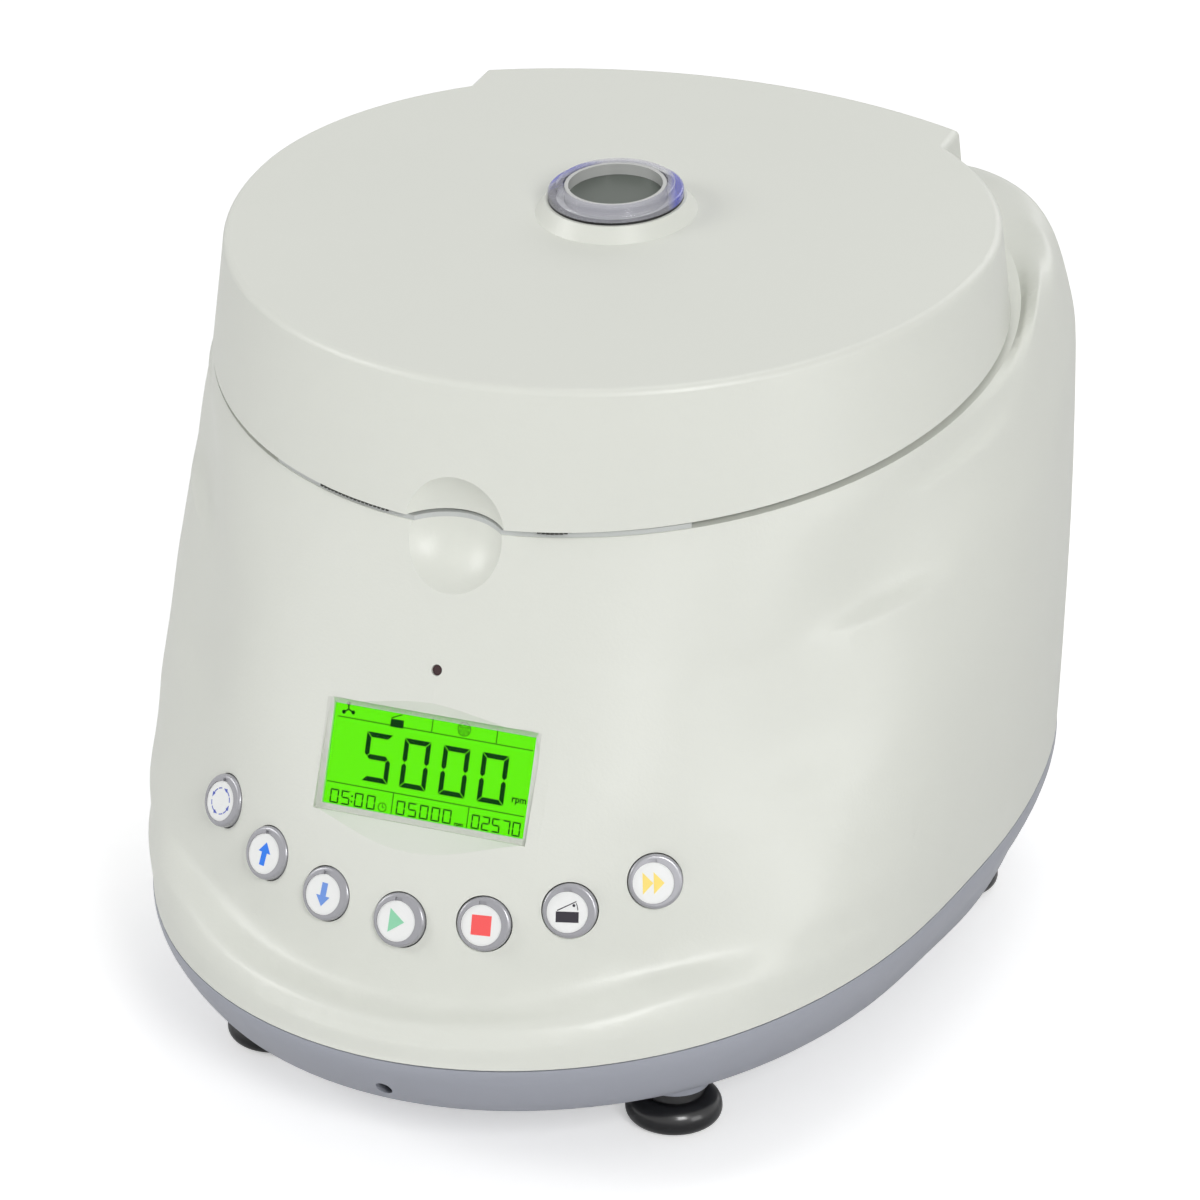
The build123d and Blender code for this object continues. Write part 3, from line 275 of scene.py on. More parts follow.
@dataclass(frozen=True)
class Finish:
    """One surface finish, turned into a material by build. Colours are 0 to 255 display values."""

    name: str
    colour: tuple[int, int, int]
    roughness: float = 0.5
    metallic: float = 0.0
    coat: float = 0.0
    drift: float = 0.03
    grain: float = 0.0
    grain_scale: float = 900.0
    rough_spread: float = 0.06
    lay: Lay = Lay.NONE
    centre: tuple[float, float, float] = (0.0, 0.0, 0.0)
    specular: float = 0.5
    alpha: float = 1.0
    side_tint: tuple[int, int, int] | None = None
    glow: tuple[int, int, int] | None = None
    glow_strength: float = 0.0

    def build(self, effects: Effects) -> Material:
        """Makes the material, on Object coordinates, with the shared effects that it uses."""
        material = bpy.data.materials.new("finish_" + self.name)
        material.use_nodes = True
        tree = material.node_tree
        shader = tree.nodes["Principled BSDF"]
        colour = linear(*self.colour)
        set_values(shader, {
            "Base Color": colour,
            "Roughness": self.roughness,
            "Metallic": self.metallic,
            "Coat Weight": self.coat,
            "Coat Roughness": COAT_ROUGHNESS,
            "Specular IOR Level": self.specular,
            "Alpha": self.alpha,
        })
        if self.glow is not None:
            glow = linear(*self.glow)
            set_values(shader, {"Emission Color": glow, "Emission Strength": self.glow_strength})
        place = self._coordinates(tree)
        if self.drift > 0.0:
            drift = tree.nodes.new("ShaderNodeGroup")
            drift.node_tree = effects.drift
            set_values(drift, {"Amount": self.drift, "Colour": colour})
            connect(tree, (place, "Vector", drift, "Vector"), (drift, "Colour", shader, "Base Color"))
        if self.side_tint is not None:
            tint = tree.nodes.new("ShaderNodeGroup")
            tint.node_tree = effects.edge_tint
            set_values(tint, {"Colour": colour, "Tint": linear(*self.side_tint), "Clear": self.alpha})
            connect(
                tree,
            (place, "Vector", tint, "Vector"), (tint, "Colour", shader, "Base Color"),
            (tint, "Alpha", shader, "Alpha"),
            )
        if self.grain > 0.0:
            self._relief(tree, shader, effects.grain if self.lay is Lay.NONE else effects.lay, place)
        return material

    def _coordinates(self, tree: NodeTree) -> Node:
        """Object coordinates about the piece's own axis, stretched along its tool marks.

        Returns:
            The node whose Vector output the patterns read.
        """
        coordinates = add_node(tree, "ShaderNodeTexCoord")
        mapping = add_node(tree, "ShaderNodeMapping", {"Location": tuple(-c for c in self.centre)})
        connect(tree, (coordinates, "Object", mapping, "Vector"))
        if self.lay is Lay.NONE:
            return mapping
        if self.lay is Lay.ALONG_X:
            set_values(mapping, {"Scale": (BRUSHED_STRETCH, 1.0, 1.0)})
            return mapping
        split = add_node(tree, "ShaderNodeSeparateXYZ")
        flat = add_node(tree, "ShaderNodeCombineXYZ")
        radius = add_node(tree, "ShaderNodeVectorMath")
        radius.operation = "LENGTH"
        join = add_node(tree, "ShaderNodeCombineXYZ")
        connect(
            tree,
            (mapping, "Vector", split, "Vector"), (split, "X", flat, "X"), (split, "Y", flat, "Y"),
            (flat, "Vector", radius, 0), (radius, "Value", join, "X"), (split, "Z", join, "Z"),
        )
        return join

    def _relief(self, tree: NodeTree, shader: Node, group: NodeTree, place: Node) -> None:
        """Adds the fine relief and the roughness that goes with it.

        Args:
            tree: the material's node tree.
            shader: its Principled node.
            group: the shared group that gives the height.
            place: the node whose Vector output the pattern reads.
        """
        relief = tree.nodes.new("ShaderNodeGroup")
        relief.node_tree = group
        set_values(relief, {"Scale": self.grain_scale})
        bump = add_node(tree, "ShaderNodeBump", {"Strength": self.grain, "Distance": BUMP_DISTANCE})
        spread = add_node(tree, "ShaderNodeMapRange", {
            "To Min": max(0.0, self.roughness - self.rough_spread),
            "To Max": min(1.0, self.roughness + self.rough_spread),
        })
        connect(
            tree,
            (place, "Vector", relief, "Vector"), (relief, "Height", bump, "Height"),
            (bump, "Normal", shader, "Normal"), (relief, "Mask", spread, "Value"),
            (spread, "Result", shader, "Roughness"),
        )


ROTOR_AXIS = (0.0, 0.02423, 0.0)

FINISHES = [
    Finish("body_white", (223, 225, 217), 0.38, grain=0.22, drift=0.02),
    Finish("tray_grey", (160, 163, 173), 0.38, grain=0.18, drift=0.02),
    Finish("strip_grey", (196, 199, 197), 0.5),
    Finish("foot_rubber", (18, 18, 20), 0.28, coat=0.3, drift=0.1),
    Finish("bowl_steel", (196, 198, 200), 0.30, 1.0, grain=0.12, grain_scale=1500.0,
           lay=Lay.ROUND, centre=ROTOR_AXIS),
    Finish("seal_rubber", (70, 71, 74), 0.65, grain=0.1),
    Finish("plate_metal", (96, 98, 102), 0.5, 0.3, grain=0.1),
    Finish("mount_rubber", (28, 28, 28), 0.7),
    Finish("motor_metal", (62, 64, 68), 0.45, 0.4, grain=0.1),
    Finish("boot_rubber", (34, 34, 35), 0.7),
    Finish("shaft_steel", (188, 188, 190), 0.22, 1.0, grain=0.05, lay=Lay.ALONG_X),
    Finish("rotor_metal", (88, 90, 95), 0.36, 0.85, grain=0.10, grain_scale=1600.0,
           lay=Lay.ROUND, centre=ROTOR_AXIS),
    Finish("nut_metal", (205, 206, 208), 0.26, 1.0, grain=0.08, grain_scale=1500.0,
           lay=Lay.ROUND, centre=ROTOR_AXIS),
    Finish("gasket_black", (10, 10, 11), 0.45, drift=0.0),
    Finish("lens_clear", (214, 214, 226), 0.05, coat=1.0, drift=0.0, alpha=0.34,
           side_tint=(62, 70, 206), centre=ROTOR_AXIS),
    Finish("tunnel_grey", (190, 191, 189), 0.30, coat=0.5, drift=0.0),
    Finish("pane_dark", (98, 104, 98), 0.35, drift=0.06, specular=0.2),
    Finish("liner_grey", (206, 208, 205), 0.45, grain=0.12),
    Finish("latch_steel", (180, 180, 178), 0.34, 1.0, grain=0.08, lay=Lay.ALONG_X),
    Finish("hinge_metal", (150, 152, 156), 0.42, 0.6, grain=0.08),
    Finish("display_cover", (24, 34, 20), 0.05, drift=0.0, alpha=0.05, coat=0.4),
    Finish("display_green", (40, 110, 6), 0.5, drift=0.0, specular=0.0,
           glow=(106, 250, 10), glow_strength=0.86),
    Finish("board_green", (30, 96, 58), 0.4, coat=0.4, drift=0.08),
    Finish("pipe_clear", (60, 30, 34), 0.2, drift=0.0),
    Finish("carrier_plastic", (60, 60, 62), 0.5),
    Finish("latch_plastic", (40, 40, 42), 0.5),
    Finish("coil_metal", (120, 122, 126), 0.4, 0.7),
    Finish("panel_metal", (176, 178, 183), 0.42, 0.25, grain=0.08),
    Finish("inlet_black", (26, 26, 27), 0.35, grain=0.05),
    Finish("pin_brass", (212, 190, 130), 0.25, 1.0),
    Finish("rocker_black", (22, 22, 23), 0.25, coat=0.3),
    Finish("button_grey", (158, 158, 163), 0.26, 0.25, coat=0.5),
    Finish("disc_white", (240, 241, 240), 0.28, coat=0.4, drift=0.0),
]

SYMBOL_COLOURS = {
    "blue": (24, 122, 240),
    "pale_blue": (112, 152, 226),
    "thin_blue": (78, 96, 190),
    "green": (146, 214, 176),
    "red": (250, 92, 92),
    "black": (20, 12, 30),
    "yellow": (252, 224, 112),
}

MARK_FINISHES = [
    Finish("segment", (8, 62, 12), 0.5, drift=0.0, specular=0.0),
    *(Finish(name, colour, 0.4, drift=0.0) for name, colour in SYMBOL_COLOURS.items()),
    Finish("zinc", (190, 190, 188), 0.35, 1.0),
    Finish("engraving", (225, 226, 226), 0.5, drift=0.0),
    # Dark finish of painted shade: the gap under the lid's front rim and the screws' cross recesses
    Finish("painted_shade_dark", (48, 48, 44), 0.6, drift=0.0),
]


# Places and outlines


@dataclass(frozen=True)
class Place:
    """A flat place on a piece: origin and three unit axes in the shared frame."""

    origin: np.ndarray
    right: np.ndarray
    up: np.ndarray
    out: np.ndarray

    def points(self, local: np.ndarray) -> np.ndarray:
        """Local points, in millimetres, as places in the shared frame, in metres."""
        axes = np.stack([self.right, self.up, self.out])
        return self.origin + (local * MM) @ axes


def mesh_rows(elements: bpy.types.bpy_prop_collection, key: str) -> np.ndarray:
    """One vector of each vertex or face of a mesh, as an array of shape (count, 3)."""
    flat = np.empty(len(elements) * 3)
    elements.foreach_get(key, flat)
    return flat.reshape(-1, 3)


def node_points(node: str) -> np.ndarray:
    """Every vertex of a CAD node, in metres, as an array of shape (count, 3)."""
    return mesh_rows(bpy.data.objects[node].data.vertices, "co")


def facing(points: np.ndarray, out: np.ndarray) -> Place:
    """Place on the outermost face of some points, upright as seen from in front.

    Args:
        points: vertices of the piece that carries the place.
        out: unit normal of the face.

    Returns:
        A place centred on the face, with up as near to +Z as it can be.
    """
    out = out / np.linalg.norm(out)
    rise = np.array([0.0, 0.0, 1.0]) if abs(out[2]) < 0.95 else np.array([0.0, 1.0, 0.0])
    up = rise - out * (rise @ out)
    up = up / np.linalg.norm(up)
    right = np.cross(up, out)
    local = points @ np.stack([right, up, out]).T
    middle = (local.min(axis=0) + local.max(axis=0)) / 2
    middle[2] = local[:, 2].max()
    return Place(middle @ np.stack([right, up, out]), right, up, out)


def box_outline(x0: float, y0: float, x1: float, y1: float) -> np.ndarray:
    """Corners of an upright rectangle, anticlockwise."""
    return np.array([(x0, y0), (x1, y0), (x1, y1), (x0, y1)])


def round_outline(x: float, y: float, r: float, count: int) -> np.ndarray:
    """Points of a circle, anticlockwise."""
    a = np.linspace(0.0, 2 * math.pi, count, endpoint=False)
    return np.stack([x + r * np.cos(a), y + r * np.sin(a)], axis=1)


def arc_outline(
    x: float, y: float, r: float, width: float, start: float, end: float, count: int
) -> np.ndarray:
    """Outline of a bent bar: out along the larger arc and back along the smaller one.

    Args:
        x: centre across.
        y: centre up.
        r: middle radius.
        width: width of the bar.
        start: first angle in degrees.
        end: last angle in degrees, larger than the first.
        count: points on each arc.

    Returns:
        Closed outline, anticlockwise.
    """
    a = np.radians(np.linspace(start, end, count))
    outer = np.stack([x + (r + width / 2) * np.cos(a), y + (r + width / 2) * np.sin(a)], axis=1)
    inner = np.stack([x + (r - width / 2) * np.cos(a), y + (r - width / 2) * np.sin(a)], axis=1)
    return np.concatenate([outer, inner[::-1]])


def ring_outline(x: float, y: float, r: float, width: float, count: int) -> np.ndarray:
    """Outline of a thin ring with a hairline cut, so that one closed outline can go round it."""
    return arc_outline(x, y, r, width, 0.0, 359.0, count)


def bar_outline(x0: float, y0: float, x1: float, y1: float, width: float) -> np.ndarray:
    """Outline of a straight bar between two points."""
    a = np.array([x0, y0])
    b = np.array([x1, y1])
    along = (b - a) / np.linalg.norm(b - a)
    side = np.array([-along[1], along[0]]) * width / 2
    return np.array([a - side, b - side, b + side, a + side])


def inset(outline: np.ndarray, gap: float) -> np.ndarray:
    """Convex anticlockwise outline with its edges moved in by gap: corners are where they cross."""
    ahead = np.roll(outline, -1, axis=0) - outline
    ahead = ahead / np.linalg.norm(ahead, axis=1, keepdims=True)
    behind = np.roll(ahead, 1, axis=0)
    turn = behind[:, 0] * ahead[:, 1] - behind[:, 1] * ahead[:, 0]
    shift = (ahead - behind) * (gap / turn)[:, None]
    return outline + shift


def digit_bars(
    digit: Digit, x: float, y: float, w: float, h: float, t: float, gap: float
) -> list[np.ndarray]:
    """Lit bars of one digit.

    Args:
        digit: which bars are lit.
        x: left edge.
        y: lower edge.
        w: width of the digit.
        h: height of the digit.
        t: thickness of a bar.
        gap: half the gap between bars.

    Returns:
        One outline for each lit bar.
    """
    m = h / 2
    bars = {
        "a": [(t, h - t), (w - t, h - t), (w, h), (0, h)],
        "b": [(w, h), (w - t, h - t), (w - t, m + t / 2), (w - t / 2, m), (w, m + t / 2)],
        "c": [(w, 0), (w, m - t / 2), (w - t / 2, m), (w - t, m - t / 2), (w - t, t)],
        "d": [(0, 0), (w, 0), (w - t, t), (t, t)],
        "e": [(0, 0), (t, t), (t, m - t / 2), (t / 2, m), (0, m - t / 2)],
        "f": [(0, h), (0, m + t / 2), (t / 2, m), (t, m + t / 2), (t, h - t)],
        "g": [(t / 2, m), (t, m - t / 2), (w - t, m - t / 2), (w - t / 2, m), (w - t, m + t / 2),
              (t, m + t / 2)],
    }
    return [inset(np.array(bars[key]), gap) + (x, y) for key in digit.value]


class Relief:
    """Flat marks of one colour that share a face: each outline becomes a thin closed slab."""

    def __init__(self, name: str, place: Place, low: float = MARK_LOW, high: float = MARK_HIGH) -> None:
        """Starts an empty mark on a face, with its underside and top in millimetres above it."""
        self.name = name
        self.place = place
        self.low = low
        self.high = high
        self.outlines: list[np.ndarray] = []

    def add(self, *outlines: np.ndarray) -> "Relief":
        """Adds outlines in the place's own millimetres."""
        self.outlines.extend(outlines)
        return self

    def build(self, body: str, slot: str, material: Material) -> Object:
        """Makes the piece and lets it ride on a body.

        The vertices are each outline at the low level followed by the same outline at the
        high level. Sides join point i of one to point i of the other.

        Args:
            body: the body that it rides on.
            slot: the record's material slot that it belongs to; not used.
            material: its finish.

        Returns:
            The new object.
        """
        points, faces, count = [], [], 0
        for outline in self.outlines:
            n = len(outline)
            low = np.column_stack([outline, np.full(n, self.low)])
            high = np.column_stack([outline, np.full(n, self.high)])
            points += [low, high]
            i = np.arange(n)
            j = np.roll(i, -1)
            sides = np.stack([i, j, j + n, i + n], axis=1) + count
            faces += sides.tolist()
            faces.append((i[::-1] + count).tolist())
            faces.append((i + n + count).tolist())
            count += 2 * n
        return add_mesh(self.name, self.place.points(np.concatenate(points)), faces, body, slot, material)


def add_mesh(
    name: str, points: np.ndarray, faces: list[list[int]], body: str, slot: str, material: Material
) -> Object:
    """Puts points and faces into a new piece.

    Args:
        name: name of the piece.
        points: vertices in metres.
        faces: index lists.
        body: the body that it rides on.
        slot: the record's material slot that it belongs to; not used.
        material: its finish.

    Returns:
        The new object.
    """
    mesh = bpy.data.meshes.new(name)
    mesh.from_pydata(points.tolist(), [], faces)
    mesh.update()
    piece = new_object(name, mesh)
    mesh.materials.append(material)
    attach(piece, body)
    LOG.info("%s: %d faces on %s", name, len(faces), body)
    return piece


def turned(profile: np.ndarray, place: Place, count: int) -> tuple[np.ndarray, list[list[int]]]:
    """Solid of revolution about a place's normal.

    A point of the surface is radius times the direction at angle a, plus height along the
    normal. The profile starts and ends on the axis, where its rings close to a point.

    Args:
        profile: rows of radius and height in millimetres, from the axis back to the axis.
        place: the place whose normal is the axis.
        count: points round the axis.

    Returns:
        Vertices and faces.
    """
    a = np.linspace(0.0, 2 * math.pi, count, endpoint=False)
    rings = profile[1:-1]
    x = rings[:, 0][:, None] * np.cos(a)
    y = rings[:, 0][:, None] * np.sin(a)
    z = np.repeat(rings[:, 1][:, None], count, axis=1)
    body = np.stack([x, y, z], axis=2).reshape(-1, 3)
    ends = np.array([(0, 0, profile[0, 1]), (0, 0, profile[-1, 1])])
    points = place.points(np.concatenate([body, ends]))
    rows = len(rings)
    i, j = np.meshgrid(np.arange(rows - 1), np.arange(count), indexing="ij")
    k = (j + 1) % count
    quads = np.stack([i * count + j, i * count + k, (i + 1) * count + k, (i + 1) * count + j], axis=2)
    faces = quads.reshape(-1, 4).tolist()
    j = np.arange(count)
    k = (j + 1) % count
    first = np.stack([np.full(count, rows * count), k, j], axis=1)
    base = (rows - 1) * count
    last = np.stack([np.full(count, rows * count + 1), base + j, base + k], axis=1)
    return points, faces + first.tolist() + last.tolist()


def lettering(
    name: str, text: str, place: Place, x: float, y: float, size: float, relief: tuple[float, float],
    bold: float = 0.0,
) -> tuple[np.ndarray, list[list[int]]]:
    """Plain lettering as a closed mesh.

    Args:
        name: name used while the text is made.
        text: what it says.
        place: the face that it lies on.
        x: centre across, in millimetres.
        y: baseline, in millimetres.
        size: letter size, in millimetres.
        relief: underside and top above the face, in millimetres.
        bold: how far each letter's outline is moved out, in millimetres.

    Returns:
        Vertices in metres and faces.
    """
    curve = bpy.data.curves.new(name + "_text", "FONT")
    curve.body = text
    curve.size = size
    curve.align_x = "CENTER"
    curve.extrude = (relief[1] - relief[0]) / 2
    curve.offset = bold
    curve.resolution_u = 3
    holder = new_object(name + "_text", curve)
    bpy.context.view_layer.update()
    source = holder.evaluated_get(bpy.context.evaluated_depsgraph_get())
    mesh = source.to_mesh()
    local = mesh_rows(mesh.vertices, "co") + (x, y, (relief[0] + relief[1]) / 2)
    faces = [list(polygon.vertices) for polygon in mesh.polygons]
    source.to_mesh_clear()
    bpy.data.objects.remove(holder)
    bpy.data.curves.remove(curve)
    return place.points(local), faces


# Sub-assemblies


@dataclass
class Shell:
    """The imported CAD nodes, each dressed with the finish of its slot."""

    frame: dict
    finishes: dict

    def dress(self) -> None:
        """Gives each node the finish of its material slot."""
        for row in self.frame["record"]["subparts"]:
            piece = self.frame["nodes"][row["node"]]
            material = self.finishes[row["material_slot"]]
            if piece.material_slots:
                for holder in piece.material_slots:
                    holder.material = material
            else:
                piece.data.materials.append(material)
            LOG.info("%s: %s", row["node"], material.name)


@dataclass
class DisplayFace:
    """Dark bars, rules, pictograms and painted shade along two edges on the lit panel, laid out as parts of
    its width and height.
    """

    finishes: dict
    width: float = 68.5
    height: float = 33.5
    rule: float = 0.24
    # Width of the painted shade along the left and lower edges, in millimetres
    edge_shade: float = 0.45
    upper_rule: float = 0.165
    lower_rule: float = 0.757
    big_top: float = 0.25
    big_bottom: float = 0.70
    small_top: float = 0.815
    small_bottom: float = 0.945
    colon: float = 0.5

    def place(self) -> Place:
        """Front of the lit panel, centred on the window: the window's thinnest direction is its normal."""
        window = node_points("display_window")
        centred = window - (window.min(axis=0) + window.max(axis=0)) / 2
        out = np.linalg.svd(centred, full_matrices=False)[2][2]
        out = out if out[1] < 0 else -out
        face = facing(window, out)
        front = (node_points("display_panel") @ out).max()
        origin = face.origin + out * (front - face.origin @ out)
        return Place(origin, face.right, face.up, face.out)

    def x(self, share: float) -> float:
        """Part of the width, from the left edge, as millimetres from the middle."""
        return (share - 0.5) * self.width

    def y(self, share: float) -> float:
        """Part of the height, from the upper edge, as millimetres from the middle."""
        return (0.5 - share) * self.height

    def line(self, u0: float, v0: float, u1: float, v1: float) -> np.ndarray:
        """Thin rule between two places on the panel."""
        return bar_outline(self.x(u0), self.y(v0), self.x(u1), self.y(v1), self.rule)

    def number(
        self, text: str, lefts: list[float], top: float, bottom: float, w: float, t: float, gap: float
    ) -> list[np.ndarray]:
        """Bars of a row of digits.

        Args:
            text: the digits.
            lefts: left edge of each digit as a part of the width.
            top: upper edge as a part of the height.
            bottom: lower edge as a part of the height.
            w: width of a digit in millimetres.
            t: thickness of its bars.
            gap: half the gap between bars.

        Returns:
            Outlines of every lit bar.
        """
        bars = []
        h = (bottom - top) * self.height
        for sign, left in zip(text, lefts):
            bars += digit_bars(DIGITS[sign], self.x(left), self.y(bottom), w, h, t, gap)
        return bars

    def pictograms(self) -> list[np.ndarray]:
        """Fan, open lid, rotor and clock pictograms."""
        shapes = []
        fx, fy = self.x(0.09), self.y(0.09)
        for turn in (95.0, 215.0, 335.0):
            a = math.radians(turn)
            tip = (fx + 1.75 * math.cos(a), fy + 1.75 * math.sin(a))
            blade = round_outline(tip[0], tip[1], 0.62, 12)
            shapes += [blade, bar_outline(fx, fy, tip[0], tip[1], 0.42)]
        lx, ly = self.x(0.325), self.y(0.135)
        shapes.append(box_outline(lx - 2.1, ly - 1.4, lx + 2.1, ly + 1.0))
        shapes.append(bar_outline(lx - 2.0, ly + 1.2, lx + 1.3, ly + 2.7, 0.3))
        rx, ry = self.x(0.64), self.y(0.085)
        shapes += [ring_outline(rx, ry, 2.0, 0.24, 32), ring_outline(rx, ry, 0.55, 0.2, 16)]
        for i in range(6):
            a = math.radians(60 * i + 30)
            shapes.append(ring_outline(rx + 1.3 * math.cos(a), ry + 1.3 * math.sin(a), 0.33, 0.22, 10))
        cx, cy = self.x(0.307), self.y(0.905)
        shapes.append(ring_outline(cx, cy, 1.3, 0.2, 24))
        shapes += [bar_outline(cx, cy, cx, cy + 0.9, 0.2), bar_outline(cx, cy, cx + 0.7, cy, 0.2)]
        return shapes

    def build(self) -> None:
        """Makes the rules, the painted shade along the left and lower edges, the digits, the pictograms and
        the unit lettering.
        """
        place = self.place()
        on_panel = ("case", "display_green", self.finishes["segment"])
        rules = Relief("display_rules_and_shade", place)
        rules.add(self.line(0.045, self.upper_rule, 0.968, self.upper_rule))
        rules.add(self.line(0.032, self.lower_rule, 0.968, self.lower_rule))
        for u in (0.49, 0.795):
            rules.add(self.line(u, 0.035, u, self.upper_rule))
        for u in (0.352, 0.71):
            rules.add(self.line(u, self.lower_rule, u, 0.95))
        # Painted shade of the window recess's wall: dark bars along the panel's left and lower edges.
        left, right, top, bottom = self.x(0.0), self.x(1.0), self.y(0.0), self.y(1.0)
        rules.add(bar_outline(left, top, left, bottom, self.edge_shade))
        rules.add(bar_outline(left + self.edge_shade / 2, bottom, right, bottom, self.edge_shade))
        rules.build(*on_panel)
        big = Relief("display_big_digits", place)
        lefts = [0.19, 0.37, 0.555, 0.738]
        big.add(*self.number("5000", lefts, self.big_top, self.big_bottom, 8.8, 1.75, 0.12))
        big.build(*on_panel)
        small = Relief("display_small_digits", place)
        for text, lefts, width in (
            ("0500", [0.055, 0.108, 0.172, 0.230], 2.9),
            ("05000", [0.372, 0.427, 0.483, 0.538, 0.592], 2.9),
            ("02570", [0.728, 0.776, 0.824, 0.872, 0.920], 2.7),
        ):
            small.add(*self.number(text, lefts, self.small_top, self.small_bottom, width, 0.52, 0.05))
        across, dot = self.x(0.160), self.colon / 2
        for v in (0.855, 0.905):
            small.add(box_outline(across - dot, self.y(v) - dot, across + dot, self.y(v) + dot))
        small.build(*on_panel)
        Relief("display_pictograms", place).add(*self.pictograms()).build(*on_panel)
        levels = (MARK_LOW, MARK_HIGH)
        units = (("display_unit_big", 0.935, 0.645, 2.9), ("display_unit_small", 0.672, 0.945, 1.7))
        for name, u, v, size in units:
            points, faces = lettering(name, "rpm", place, self.x(u), self.y(v), size, levels, 0.06)
            add_mesh(name, points, faces, *on_panel)


@dataclass
class KeySymbols:
    """One printed symbol on the disc of each push button."""

    frame: dict
    finishes: dict
    arrow: float = 7.2

    def place(self, key: str) -> Place:
        """Front of a button's disc: its normal is opposite to the way the button travels."""
        name = f"key_{key}_press"
        joint = next(j for j in self.frame["joints"] if j["name"] == name)
        return facing(node_points(f"disc_{key}"), -np.array(joint["axis"], dtype=float))

    def arrow_outline(self) -> np.ndarray:
        """Upright arrow with a broad head."""
        h = self.arrow / 2
        return np.array([(-1.0, -h), (1.0, -h), (1.0, 0.4), (2.4, 0.4), (0.0, h), (-2.4, 0.4), (-1.0, 0.4)])

    def circling(self) -> list[np.ndarray]:
        """Thin dashed ring with four arrow heads that chase each other."""
        shapes = []
        for i in range(4):
            start = 90.0 * i + 12.0
            shapes.append(arc_outline(0, 0, 4.0, 0.32, start, start + 22, 6))
            shapes.append(arc_outline(0, 0, 4.0, 0.32, start + 28, start + 58, 7))
            a = math.radians(start + 66)
            c, s = math.cos(a), math.sin(a)
            head = np.array([(0.6, -0.8), (0.0, 0.8), (-0.6, -0.8)])
            turned_head = head @ np.array([[c, s], [-s, c]])
            shapes.append(turned_head + (4.0 * c, 4.0 * s))
        return shapes

    def open_box(self) -> list[np.ndarray]:
        """Box with its lid swung up and a dot at the catch."""
        return [
            box_outline(-3.4, -3.0, 3.4, 0.2),
            bar_outline(-3.0, 0.5, 2.6, 3.3, 0.3),
            arc_outline(-3.0, 0.3, 6.1, 0.22, 4, 24, 8),
            round_outline(1.9, 2.1, 0.45, 12),
        ]

    def build(self) -> None:
        """Prints all seven symbols."""
        arrow = self.arrow_outline()
        double = [np.array([(x, -3.3), (x + 3.2, 0.0), (x, 3.3)]) for x in (-3.2, 0.1)]
        symbols = {
            "wake": (self.circling(), "thin_blue"),
            "up": ([arrow], "blue"),
            "down": ([-arrow], "pale_blue"),
            "start": ([np.array([(-2.3, -3.6), (2.6, 0.0), (-2.3, 3.6)])], "green"),
            "stop": ([box_outline(-3.0, -3.0, 3.0, 3.0)], "red"),
            "open": (self.open_box(), "black"),
            "spin": (double, "yellow"),
        }
        for key, (outlines, colour) in symbols.items():
            mark = Relief(f"symbol_{key}", self.place(key))
            mark.add(*outlines).build(f"key_{key}", "disc_white", self.finishes[colour])


